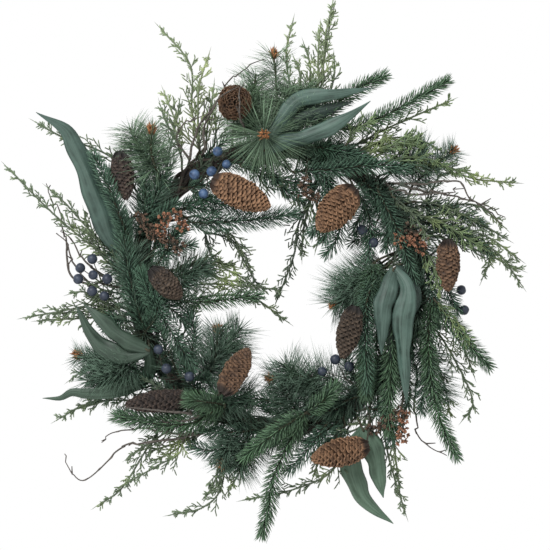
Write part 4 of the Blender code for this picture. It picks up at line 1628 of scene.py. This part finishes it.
# %% The berry sprays
BERRIES = {
    "berries_top": (
        (212, 165, 10),
        (208, 178, 34),
        [(218, 152, 38), (212, 172, 40), (227, 165, 36), (195, 175, 44), (204, 194, 44)],
    ),
    "berries_left": (
        (136, 292, 0),
        (104, 284, 30),
        [
            *[(93, 259, 32), (81, 268, 30), (79, 279, 34), (94, 275, 40)],
            *[(108, 279, 38), (93, 291, 38), (105, 296, 34)],
        ],
    ),
    "berries_right": ((414, 280, 60), (438, 296, 12), [(461, 290, 12), (464, 310, 12)]),
    "berries_bottom": (
        (362, 388, -30),
        (345, 378, 34),
        [(335, 359, 36), (322, 371, 38), (349, 366, 34)],
    ),
}
for seed, (title, spray) in enumerate(BERRIES.items()):
    pile = Pile()
    berry_spray(pile, *spray, np.random.default_rng(400 + seed))
    skin = BERRY_BLUE if title == "berries_top" else BERRY
    make_piece(title + "_fruit", pile, [skin, WIRE], [title])

MORE_BERRIES = [
    ((160, 372, 0), (172, 382, 30), [(159, 349, 46), (167, 368, 47), (190, 376, 46)]),
    ((388, 208, -20), (376, 222, 28), [(362, 230, 36), (373, 243, 36)]),
]
pile = Pile()
for seed, spray in enumerate(MORE_BERRIES):
    berry_spray(pile, *spray, np.random.default_rng(450 + seed))
make_piece("more_berries", pile, [BERRY, WIRE])
print("berries:", sum(len(spray[2]) for spray in [*BERRIES.values(), *MORE_BERRIES]))

# %% [markdown]
# ## Seed heads
#
# The rust coloured seed heads are short stems with stalks all round, and a tuft of small pods on
# each stalk. Random angles would leave bald sides, so the stalks are turned by the golden angle,
# like the scales of a cone.

# %% A seed head
PODS = 8
RIPE_FROM = 4


def seed_branch(pile, points, rng):
    """Short side stalks in all directions, each ending in a tuft of small pods.

    A branch drawn through four points or more is a ripe one, and its pods are rust coloured.
    """
    slot = 0 if len(points) >= RIPE_FROM else 2
    route = walk(points, 0.0024)
    count = len(route)
    tube(pile, route, WIRE_RADIUS, STEM_SIDES, 1)
    along, fronts, sideways = directions(route)
    place = np.repeat(np.arange(count), 2)
    stalks = len(place)
    spin = np.arange(stalks) * GOLDEN_ANGLE + rng.normal(0.0, 0.3, stalks)
    radial = turned(spin, fronts[place], sideways[place])
    way = unit(radial + along[place] * rng.uniform(0.1, 0.7, stalks)[:, None])
    stalk = rng.uniform(0.0005, 0.0065, stalks)
    wide = unit(np.cross(way, along[place]))
    darts(pile, route[place], way, wide, stalk * 1.3, 0.0005, 1, 0.4)
    owner = np.repeat(np.arange(stalks), PODS)
    total = len(owner)
    spread = unit(way[owner] + along[place][owner] * 0.3 + rng.normal(0.0, 0.5, (total, 3)))
    base = route[place][owner] + way[owner] * stalk[owner][:, None]
    wide = unit(np.cross(spread, FRONT + rng.normal(0.0, 0.2, (total, 3))))
    size = rng.uniform(0.0030, 0.0054, total)
    tone = tones(rng, 0.5, 0.24, total)
    darts(pile, base, spread, wide, size, 0.00100, slot, tone, POD, 4, thickness=0.8)


print("pods on each stalk:", PODS)

# %% The seed heads
SEEDS = {
    "seeds_left": (
        (152, 248, 20),
        [
            [(160, 236, 36), (146, 228, 40), (140, 216, 38)],
            [(160, 236, 36), (164, 222, 44), (176, 214, 46), (184, 228, 44)],
            [(160, 236, 36), (170, 242, 42), (181, 248, 42)],
        ],
    ),
    "seeds_top": ((308, 156, -10), [[(306, 176, 34), (302, 190, 38), (316, 196, 36)]]),
    "seeds_right": (
        (408, 250, 0),
        [
            [(396, 236, 34), (408, 230, 38), (422, 236, 36)],
            [(396, 236, 34), (402, 242, 42), (412, 240, 46), (422, 248, 44)],
        ],
    ),
    "seeds_bottom_right": (
        (398, 358, 60),
        [
            [(401, 408, 40), (403, 418, 42), (402, 428, 42), (400, 438, 38)],
            [(401, 408, 40), (386, 422, 38), (370, 430, 36)],
        ],
    ),
}
picks(SEEDS, seed_branch, [SEED, WIRE, SEED_DARK], "seeds", 500)

# %% [markdown]
# ## Bare twigs
#
# A twig bends a little at each bud, is thicker there, and thins to its end, with a short spur now
# and then. Smooth noise would give a worm, so the route is shifted in steps, from bud to bud.

# %% A twig
BUD_GAP = 6
TWIG_RADIUS = 0.0015
TWIG_TAPER = 0.0010
SPUR_CHANCE = 0.55


def bare_twig(pile, points, rng):
    """A kinked, tapering twig with a few short spurs."""
    route = walk(points, 0.003)
    count = len(route)
    shifts = rng.normal(0.0, 0.0014, (count // BUD_GAP + 2, 3))
    kinks = np.repeat(shifts, BUD_GAP, axis=0)[:count]
    ease = np.minimum(1.0, np.linspace(0.0, 6.0, count))[:, None]
    route = route + kinks * ease
    radii = TWIG_RADIUS - TWIG_TAPER * np.linspace(0.0, 1.0, count)
    radii = radii * (1.0 + 0.35 * (np.arange(count) % BUD_GAP == 0))
    tube(pile, route, radii, 7, 0)
    along, fronts, sideways = directions(route)
    for place in range(BUD_GAP, count - 2, BUD_GAP):
        if rng.uniform() < SPUR_CHANCE:
            sign = 1.0 if rng.uniform() < 0.5 else -1.0
            way = along[place] * 0.8 + sideways[place] * sign * 0.7 + fronts[place] * rng.normal(0.0, 0.3)
            way = unit(way)
            spur = walk([route[place], route[place] + way * rng.uniform(0.004, 0.012)], 0.003)
            tube(pile, spur, np.linspace(0.0009, 0.0005, len(spur)), 5, 0)


print("a twig has a bud every", 3 * BUD_GAP, "mm")

# %% The twigs
TWIGS = {
    "twig_left": (
        (136, 268, 100),
        [
            [(92, 286, 2), (70, 272, 4), (64, 228, 4), (47, 182, 2)],
            [(92, 286, 2), (72, 262, 10), (66, 244, 10), (55, 234, 8)],
        ],
    ),
    "twig_bottom_left": (
        (206, 408, 50),
        [
            [(200, 434, 26), (160, 430, 32), (118, 431, 26), (101, 441, 22)],
            [(200, 434, 26), (144, 442, 26), (118, 452, 10), (84, 480, 4), (64, 456, 0)],
        ],
    ),
    "twig_right": (
        (382, 190, 60),
        [
            [(398, 184, 26), (440, 196, 30), (480, 204, 26), (500, 224, 20)],
            [(398, 184, 26), (430, 184, 34), (458, 182, 34), (470, 199, 30), (505, 214, 26)],
        ],
    ),
    "twig_top": (
        (196, 176, 50),
        [
            [(190, 160, 24), (196, 135, 26), (214, 106, 24), (230, 83, 20), (246, 69, 22), (265, 61, 24)],
            [(190, 160, 24), (178, 140, 30), (186, 122, 30), (204, 112, 34)],
        ],
    ),
}
picks(TWIGS, bare_twig, [TWIG, TWIG], "twig", 600)

# %% [markdown]
# ## More of the same
#
# Between the picks that can be told apart, the real wreath is packed with more sprays. Scattered at
# random, their gaps and tips would be in the wrong places, so each is listed one by one: its foot on
# the vine, then its points.

# %% More spruce
MORE_SPRUCE = [
    ((142, 262, -20), [(156, 254, 16), (172, 250, 22), (186, 246, 24), (198, 244, 22)]),
    ((396, 235, -40), [(384, 234, 8), (370, 236, 12), (358, 240, 14), (346, 244, 14)]),
    ((398, 355, 60), [(402, 372, 14), (407, 392, 20), (406, 412, 20)]),
    ((396, 255, -20), [(378, 272, 30), (367, 298, 48), (365, 330, 54), (366, 364, 50), (367, 394, 42)]),
    ((398, 215, -20), [(384, 212, 14), (368, 210, 18), (358, 220, 20), (352, 238, 18)]),
    ((412, 262, 60), [(424, 258, 10), (436, 274, 16), (449, 294, 18), (460, 316, 14)]),
    ((139, 285, -20), [(154, 270, 20), (166, 252, 26), (174, 238, 30), (182, 224, 30)]),
    ((142, 262, -20), [(156, 248, 16), (168, 240, 22), (178, 233, 24), (190, 226, 22)]),
    ((140, 262, 60), [(130, 240, 30), (119, 212, 46), (107, 182, 48), (92, 150, 44)]),
    ((340, 410, 30), [(345, 424, 22), (336, 436, 28), (320, 446, 26)]),
    ((141, 305, 50), [(130, 312, 10), (116, 322, 14), (100, 330, 12)]),
    ((310, 152, -30), [(316, 172, 12), (326, 196, 16), (330, 220, 18), (322, 246, 18)]),
    ((262, 150, -40), [(262, 166, 12), (276, 182, 16), (292, 194, 16), (308, 204, 14)]),
    ((139, 290, 20), [(150, 296, 20), (164, 304, 26), (178, 314, 26), (190, 326, 22)]),
    ((170, 200, -30), [(180, 204, 12), (196, 202, 16), (212, 198, 18), (228, 194, 18)]),
    ((160, 215, -30), [(172, 212, 12), (188, 208, 16), (206, 210, 18), (222, 214, 18)]),
    ((182, 188, -30), [(186, 188, 12), (198, 186, 14), (214, 186, 14)]),
    ((394, 250, -20), [(372, 270, 10), (362, 300, 14), (360, 335, 16), (362, 375, 16)]),
    ((400, 270, -20), [(384, 290, 10), (378, 320, 14), (376, 355, 16), (378, 390, 16)]),
    ((372, 187, 10), [(378, 192, 24), (392, 220, 34), (404, 250, 38), (416, 284, 34)]),
    ((240, 153, -30), [(240, 166, 16), (262, 174, 18), (290, 182, 20), (316, 190, 20)]),
    ((196, 175, -50), [(192, 190, 14), (206, 200, 16), (228, 206, 18), (256, 210, 16)]),
    ((325, 156, -40), [(330, 176, 20), (330, 200, 24), (320, 222, 26), (308, 238, 22)]),
    ((350, 170, -30), [(352, 184, 24), (364, 205, 28), (370, 232, 32), (366, 262, 32)]),
    ((365, 180, -30), [(350, 200, 22), (342, 222, 26), (334, 244, 24), (322, 258, 20)]),
    ((143, 262, -10), [(146, 276, 36), (158, 305, 42), (176, 338, 44), (198, 372, 42)]),
    ((300, 424, -30), [(292, 408, 18), (268, 400, 24), (246, 400, 26), (222, 408, 24)]),
    ((330, 415, 20), [(326, 424, 26), (314, 442, 30), (298, 460, 30), (284, 474, 24)]),
    ((414, 310, 30), [(424, 330, 14), (426, 360, 20), (424, 390, 24), (420, 416, 20)]),
    ((138, 290, 60), [(128, 282, 8), (116, 262, 12), (110, 236, 14), (106, 205, 12)]),
    ((140, 262, 60), [(130, 250, 6), (122, 222, 10), (114, 195, 12), (108, 165, 10)]),
    ((142, 250, 20), [(140, 238, 14), (144, 215, 20), (146, 190, 22), (142, 168, 18)]),
    ((142, 315, -30), [(160, 306, 16), (176, 290, 20), (194, 276, 20), (216, 268, 16)]),
    ((180, 385, -10), [(186, 376, 22), (192, 352, 28), (194, 330, 28), (186, 306, 24)]),
    ((156, 355, 40), [(146, 366, 16), (128, 378, 18), (108, 382, 16), (86, 380, 12)]),
    ((378, 383, -30), [(360, 380, 18), (348, 368, 22), (346, 350, 22)]),
    ((352, 404, 20), [(368, 408, 24), (384, 412, 30), (392, 428, 28), (390, 446, 22)]),
    ((404, 228, 60), [(424, 222, 14), (448, 228, 20), (472, 240, 18), (496, 258, 12)]),
    ((400, 215, 60), [(418, 206, 12), (442, 208, 18), (466, 216, 18), (488, 228, 12)]),
    ((196, 400, 50), [(186, 412, 16), (164, 418, 22), (140, 418, 22), (116, 410, 16)]),
    ((250, 424, 50), [(246, 440, 18), (230, 448, 22), (208, 450, 22), (186, 444, 16)]),
]
print("more spruce branches:", len(MORE_SPRUCE))

# %% [markdown]
# Pine without buds fills the inside of the ring, and a paler, more open pine stands at the top,
# where the light comes through it.

# %% More pine
MORE_PINE = [
    ((150, 352, 60), [(130, 368, 14), (108, 378, 18), (87, 381, 18)]),
    ((404, 262, -50), [(386, 268, 12), (362, 276, 18), (336, 288, 20)]),
    ((310, 423, -50), [(306, 404, 12), (298, 382, 18), (284, 363, 20)]),
    ((413, 330, 60), [(420, 348, 14), (432, 374, 18), (440, 402, 18)]),
    ((408, 250, -50), [(386, 264, 12), (362, 280, 18), (342, 298, 20)]),
    ((412, 275, -50), [(388, 276, 14), (366, 288, 20), (340, 303, 22)]),
    ((300, 425, -50), [(298, 412, 12), (288, 396, 18), (280, 384, 20)]),
    ((330, 418, -50), [(328, 404, 12), (318, 390, 18), (308, 376, 20)]),
    ((142, 345, 60), [(128, 354, 8), (108, 364, 12), (94, 368, 12)]),
    ((152, 350, 60), [(136, 362, 14), (118, 372, 18), (100, 376, 18)]),
    ((255, 424, 60), [(250, 438, 12), (244, 456, 18), (238, 470, 18)]),
    ((375, 188, 50), [(390, 174, 10), (408, 162, 14), (426, 152, 14)]),
    ((185, 390, -20), [(205, 370, 16), (222, 350, 22), (241, 328, 22)]),
    ((178, 190, 60), [(165, 180, 8), (148, 162, 12), (134, 142, 12)]),
    ((188, 394, -40), [(200, 384, 12), (220, 362, 16), (238, 344, 16)]),
    ((141, 300, -40), [(160, 286, 16), (184, 274, 20), (206, 266, 18)]),
    ((200, 404, -40), [(214, 402, 14), (232, 398, 18), (250, 398, 18)]),
]
LIT_PINE = [
    ((262, 149, 60), [(252, 132, 8), (240, 108, 14), (236, 92, 14)]),
    ((290, 149, 60), [(300, 128, 8), (306, 106, 12), (304, 88, 12)]),
    ((165, 190, 40), [(152, 168, 14), (140, 148, 18), (130, 128, 18)]),
    ((262, 149, 60), [(254, 134, 8), (247, 112, 12), (243, 90, 12)]),
    ((262, 149, 60), [(257, 138, 8), (254, 116, 10), (258, 94, 12)]),
    ((290, 149, 60), [(298, 130, 8), (300, 108, 12), (298, 90, 12)]),
    ((276, 148, 60), [(280, 130, 10), (284, 108, 12), (288, 88, 12)]),
    ((262, 149, 60), [(256, 124, 8), (254, 98, 12), (256, 74, 12)]),
]
print("more pine branches:", len(MORE_PINE) + len(LIT_PINE))

# %% [markdown]
# Small cedar sprigs are everywhere between the large ones. Yellower ones lie on top at the right,
# and pale ones stand up at the top.

# %% More cedar
MORE_CEDAR = [
    ((215, 162, 60), [(214, 146, 8), (216, 130, 10), (214, 114, 10), (210, 98, 8)]),
    ((141, 300, 60), [(118, 308, 8), (92, 317, 12), (66, 319, 12), (38, 321, 8)]),
    ((160, 215, -60), [(196, 216, 14), (220, 226, 16), (238, 244, 16), (252, 272, 12)]),
    ((141, 300, -60), [(180, 268, 18), (208, 264, 20), (236, 274, 18), (260, 290, 12)]),
    ((395, 208, 60), [(412, 202, 22), (434, 204, 28), (456, 212, 30), (480, 224, 24)]),
    ((380, 192, 40), [(392, 196, 30), (408, 210, 40), (420, 226, 44), (430, 244, 42)]),
    ((230, 408, 70), [(212, 428, 14), (188, 439, 18), (166, 446, 16), (146, 453, 12)]),
    ((137, 270, 60), [(112, 252, 10), (86, 226, 14), (66, 204, 14), (48, 188, 10)]),
    ((412, 236, 60), [(440, 232, 10), (470, 238, 14), (490, 254, 14), (482, 280, 10)]),
    ((141, 300, 60), [(120, 304, 10), (96, 310, 14), (76, 312, 14), (50, 314, 10)]),
    ((262, 150, -60), [(268, 168, 12), (280, 186, 16), (290, 202, 14)]),
    ((305, 151, -60), [(310, 176, 12), (316, 204, 16), (320, 230, 16), (316, 250, 12)]),
    ((365, 394, 40), [(368, 412, 20), (360, 426, 26), (344, 434, 26), (328, 442, 22)]),
    ((372, 388, 40), [(378, 404, 20), (372, 420, 26), (360, 432, 26)]),
    ((140, 310, 40), [(126, 308, 12), (108, 304, 16), (92, 294, 12)]),
    ((142, 318, 40), [(128, 322, 10), (112, 316, 14), (96, 308, 12)]),
    ((140, 300, 50), [(122, 294, 8), (104, 290, 12), (88, 282, 10)]),
    ((137, 275, 60), [(122, 262, 10), (104, 244, 14), (86, 232, 14), (68, 224, 10)]),
    ((140, 270, -50), [(164, 276, 10), (190, 264, 14), (214, 262, 16), (240, 268, 14)]),
    ((139, 290, -40), [(170, 290, 14), (205, 284, 18), (245, 286, 18), (281, 290, 14)]),
    ((140, 300, -50), [(170, 306, 10), (210, 296, 14), (252, 298, 14), (288, 322, 10)]),
    ((141, 280, -50), [(170, 270, 14), (200, 272, 18), (228, 280, 18), (248, 282, 14)]),
    ((322, 158, -60), [(316, 184, 12), (308, 210, 14), (303, 235, 14), (302, 258, 12)]),
    ((250, 151, -60), [(254, 168, 10), (262, 182, 12), (272, 194, 12)]),
    ((300, 150, -60), [(296, 170, 14), (296, 190, 18), (300, 210, 16)]),
    ((160, 360, -30), [(172, 350, 14), (186, 330, 18), (192, 316, 18), (196, 300, 14)]),
    ((407, 240, 70), [(424, 236, 16), (450, 240, 22), (480, 252, 20), (521, 270, 12)]),
    ((404, 228, 60), [(420, 218, 12), (446, 214, 16), (476, 222, 18), (508, 240, 12)]),
    ((345, 165, 60), [(360, 150, 14), (384, 140, 20), (406, 138, 20), (426, 146, 16)]),
    ((360, 175, 60), [(378, 162, 12), (402, 158, 18), (424, 164, 18), (446, 178, 14)]),
    ((290, 148, 70), [(300, 124, 8), (308, 92, 10), (310, 66, 8), (304, 44, 6)]),
    ((305, 151, 70), [(316, 124, 10), (328, 98, 12), (334, 76, 12), (334, 56, 8)]),
    ((280, 148, 70), [(288, 124, 12), (298, 100, 14), (300, 76, 12), (294, 58, 8)]),
    ((172, 196, 60), [(166, 176, 10), (170, 150, 14), (176, 124, 14), (180, 100, 10)]),
    ((190, 180, 60), [(182, 160, 8), (176, 140, 10), (166, 122, 10), (160, 104, 8)]),
    ((138, 282, 60), [(124, 276, 8), (104, 258, 12), (90, 236, 14), (84, 212, 10)]),
    ((138, 288, 60), [(120, 298, 8), (100, 300, 12), (84, 292, 12), (70, 294, 8)]),
    ((152, 345, 60), [(134, 352, 6), (112, 362, 10), (88, 368, 10), (70, 380, 8)]),
    ((170, 374, 60), [(150, 386, 8), (124, 394, 12), (98, 403, 12), (78, 409, 8)]),
    ((196, 400, 60), [(184, 418, 12), (166, 432, 18), (148, 444, 18), (128, 458, 12)]),
    ((204, 405, 60), [(196, 420, 12), (186, 440, 16), (172, 452, 16), (150, 462, 10)]),
    ((225, 416, 60), [(222, 436, 12), (220, 458, 16), (216, 478, 16), (206, 498, 10)]),
    ((240, 421, 60), [(236, 440, 14), (226, 464, 18), (218, 484, 16), (206, 496, 10)]),
    ((262, 425, 60), [(256, 444, 14), (244, 464, 18), (234, 482, 16), (226, 494, 10)]),
    ((320, 419, 60), [(320, 436, 12), (318, 454, 16), (316, 468, 16), (312, 480, 12)]),
    ((350, 406, 60), [(352, 420, 14), (344, 434, 18), (330, 446, 18), (316, 452, 12)]),
    ((380, 382, 60), [(388, 402, 12), (392, 430, 16), (396, 462, 16), (400, 492, 10)]),
    ((410, 330, 60), [(424, 340, 8), (438, 366, 10), (446, 392, 12), (450, 416, 10)]),
    ((414, 300, 60), [(428, 306, 8), (446, 324, 12), (464, 350, 12), (474, 376, 8)]),
    ((395, 362, 40), [(404, 372, 16), (410, 392, 20), (404, 412, 20), (396, 432, 14)]),
]
YELLOW_CEDAR = [
    ((400, 218, 60), [(418, 216, 26), (440, 222, 34), (462, 236, 36), (486, 250, 28)]),
    ((350, 168, 60), [(362, 158, 24), (382, 148, 32), (404, 144, 34), (428, 148, 30)]),
    ((352, 168, 60), [(360, 152, 18), (378, 142, 26), (398, 140, 28), (420, 144, 24)]),
    ((376, 180, 60), [(400, 168, 20), (430, 164, 24), (456, 170, 22), (482, 177, 16)]),
    ((412, 250, 60), [(424, 250, 30), (431, 262, 42), (436, 280, 44), (440, 296, 38)]),
    ((362, 176, 60), [(380, 166, 24), (404, 158, 32), (430, 160, 34), (452, 170, 28)]),
    ((345, 165, 60), [(346, 146, 30), (352, 134, 36), (362, 126, 38), (378, 120, 36)]),
    ((358, 172, 60), [(376, 156, 16), (400, 146, 22), (422, 142, 24), (442, 152, 20)]),
    ((412, 290, 60), [(434, 300, 30), (450, 314, 36), (463, 332, 36), (470, 350, 30)]),
]
PALE_CEDAR = [
    ((300, 150, 70), [(310, 120, 10), (318, 90, 12), (318, 58, 10), (320, 26, 8)]),
    ((298, 150, 70), [(308, 110, 6), (322, 70, 8), (328, 34, 8), (334, 6, 6)]),
    ((206, 168, 60), [(206, 146, 10), (208, 122, 12), (212, 100, 12), (214, 84, 10)]),
]
print("more cedar sprigs:", len(MORE_CEDAR) + len(YELLOW_CEDAR) + len(PALE_CEDAR))

# %% [markdown]
# A few bare twigs cross the foliage. Then all these sprays are made, one piece for each kind,
# because more than a hundred small objects would be slow to handle.

# %% More twigs, and all the sprays made
MORE_TWIGS = [
    ((190, 392, 40), [(192, 413, 46), (166, 411, 50), (144, 409, 48), (123, 407, 40)]),
    ((200, 402, 30), [(200, 415, 42), (182, 420, 38), (160, 418, 34)]),
    ((398, 355, 60), [(412, 350, 12), (416, 376, 16), (415, 420, 14), (426, 443, 10), (446, 455, 6)]),
    ((206, 168, 40), [(206, 150, 28), (204, 130, 34), (214, 112, 66), (222, 100, 70), (240, 90, 66)]),
    ((250, 150, 60), [(246, 136, 20), (240, 118, 60), (240, 100, 70), (242, 84, 50)]),
    ((375, 186, 50), [(392, 190, 28), (416, 194, 34), (440, 192, 34), (466, 190, 28)]),
    ((140, 262, 80), [(104, 276, 10), (84, 262, 14), (72, 240, 12), (60, 232, 8)]),
]
MORE = [
    ("more_spruce", MORE_SPRUCE, spruce_branch, [SPRUCE, STEM], "spruce"),
    ("more_pine", MORE_PINE, plain_pine, [PINE, STEM, BUD], "pine"),
    ("lit_pine", LIT_PINE, plain_airy_pine, [PINE_LIT, STEM, BUD], "pine"),
    ("more_cedar", MORE_CEDAR, cedar_branch, [CEDAR, STEM], "cedar"),
    ("yellow_cedar", YELLOW_CEDAR, cedar_branch, [CEDAR_YELLOW, STEM], "cedar"),
    ("more_twigs", MORE_TWIGS, bare_twig, [TWIG, TWIG], "twig"),
    ("pale_cedar", PALE_CEDAR, cedar_branch, [CEDAR_PALE, STEM], "cedar"),
]
for seed, (name, table, branch, finishes, slot) in enumerate(MORE):
    more_rng = np.random.default_rng(700 + seed)
    pile = Pile()
    for foot, places in table:
        pick(pile, foot, [places], branch, more_rng)
    make_piece(name, pile, finishes)
    print(name, TRIANGLES[name], "triangles")

# %% [markdown]
# ## The dark mass next to the vine
#
# What is left is background: short sprays close to the vine, which hide it and make the dark
# inside of the wreath. Nobody can tell them apart, so these can follow a rule: round the ring, all
# sweeping the same way, with a gap at the upper left, where the real wreath is thin.

# %% Filler by rule
THIN_FROM = math.radians(128.0)
THIN_TO = math.radians(158.0)
FILLERS = {
    "filler_spruce_outer": (20, (0.010, 0.035), (0.4, 0.6), (0.004, 0.03)),
    "filler_spruce_inner": (18, (-0.04, -0.01), (0.35, 0.55), (0.004, 0.03)),
    "filler_cedar": (14, (-0.035, 0.05), (0.3, 0.5), (0.010, 0.035)),
    "filler_pine": (14, (-0.020, 0.030), (0.3, 0.45), (0.004, 0.022)),
}
FILLER_KINDS = [
    (spruce_branch, [SPRUCE, STEM], "spruce"),
    (spruce_branch, [SPRUCE, STEM], "spruce"),
    # The filler cedar lies deep by the vine and takes the painted shade finish.
    (cedar_branch, [CEDAR_SHADED, STEM], "cedar"),
    (plain_pine, [PINE, STEM, BUD], "pine"),
]


def filler(pile, count, drift, arc, depth, branch, rng):
    """Sprays that leave the vine and run clockwise, drifting in or out and forward."""
    for index in range(count):
        angle = FULL_TURN * (index + rng.uniform(-0.3, 0.3)) / count
        if THIN_FROM < angle < THIN_TO:
            continue
        reach, sweep, ahead = rng.uniform(*drift), rng.uniform(*arc), rng.uniform(*depth)
        points = [ring_point(angle)]
        for share in (0.35, 0.7, 1.0):
            place = ring_point(angle - sweep * share, RING_RADIUS + reach * share)
            points.append(place + FRONT * ahead * min(1.0, 0.5 + share))
        branch(pile, points, rng)


for seed, (name, rule) in enumerate(FILLERS.items()):
    branch, finishes, slot = FILLER_KINDS[seed]
    pile = Pile()
    filler(pile, *rule, branch, np.random.default_rng(800 + seed))
    make_piece(name, pile, finishes)
print("triangles in all:", sum(TRIANGLES.values()), "most in one piece:", max(TRIANGLES.values()))

# %% [markdown]
# ## Stage and light
#
# The wreath is shown as a cut out on white. A bright even surround gives the white and the soft
# shade, and a large disc of light from the upper left gives the cones and leaves their form. A
# small lamp would throw hard shadows of needles.

# %% Stage and light
WHITE = (1.0, 1.0, 1.0, 1.0)
PALE = (0.82, 0.82, 0.81, 1.0)
FLOOR_BELOW = 0.75
FLOOR_SIZE = 8.0


def white_surround(strength):
    """Even white light from everywhere, which is also the background."""
    world = bpy.data.worlds.new("white_surround")
    bpy.context.scene.world = world
    world.use_nodes = True
    background = world.node_tree.nodes["Background"]
    background.inputs["Color"].default_value = WHITE
    background.inputs["Strength"].default_value = strength


def floor(below):
    """A pale floor far under the wreath, not attached to the wreath."""
    bpy.ops.mesh.primitive_plane_add(size=FLOOR_SIZE, location=(0.0, 0.0, -below))
    made = bpy.context.object
    made.name = "floor"
    plain, _, shader = new_material("pale_floor", 0.8)
    shader.inputs["Base Color"].default_value = PALE
    made.data.materials.append(plain)


def soft_light(name, place, size, power):
    """A round area light that looks at the middle of the ring."""
    data = bpy.data.lights.new(name, "AREA")
    data.shape = "DISK"
    data.size = size
    data.energy = power
    lamp = bpy.data.objects.new(name, data)
    lamp.location = place
    aim = np.array([0.0, 0.0, -HOOK_RISE]) - np.array(place)
    lamp.rotation_euler = Vector(aim).to_track_quat("-Z", "Y").to_euler()
    bpy.context.scene.collection.objects.link(lamp)


white_surround(1.0)
floor(FLOOR_BELOW)
soft_light("key", (-1.2, -2.0, 1.3), 1.2, 70.0)
print("lights:", len(bpy.data.lights))

# %% [markdown]
# ## Camera
#
# The ring shows no perspective, so the camera stands far off, straight in front, and its long lens
# follows from that distance and the 550 squares that the picture is wide. The Standard view keeps
# white white; a filmic view would turn it grey.

# %% Camera
PICTURE_SQUARES = 550.0
CAMERA_DISTANCE = 8.0
SENSOR_WIDTH = 36.0


def camera():
    """A camera that sees exactly the square grid that the plan is drawn on."""
    data = bpy.data.cameras.new("camera")
    data.sensor_width = SENSOR_WIDTH
    data.lens = SENSOR_WIDTH * CAMERA_DISTANCE / (PICTURE_SQUARES * UNIT)
    data.clip_end = 50.0
    made = bpy.data.objects.new("camera", data)
    middle = plan(PICTURE_SQUARES / 2.0, PICTURE_SQUARES / 2.0, 0.0)
    made.location = (middle[0], -CAMERA_DISTANCE, middle[2])
    made.rotation_euler = (math.radians(90.0), 0.0, 0.0)
    bpy.context.scene.collection.objects.link(made)
    bpy.context.scene.camera = made
    return made


print("lens length in millimetres:", round(camera().data.lens))
bpy.context.scene.view_settings.view_transform = "Standard"
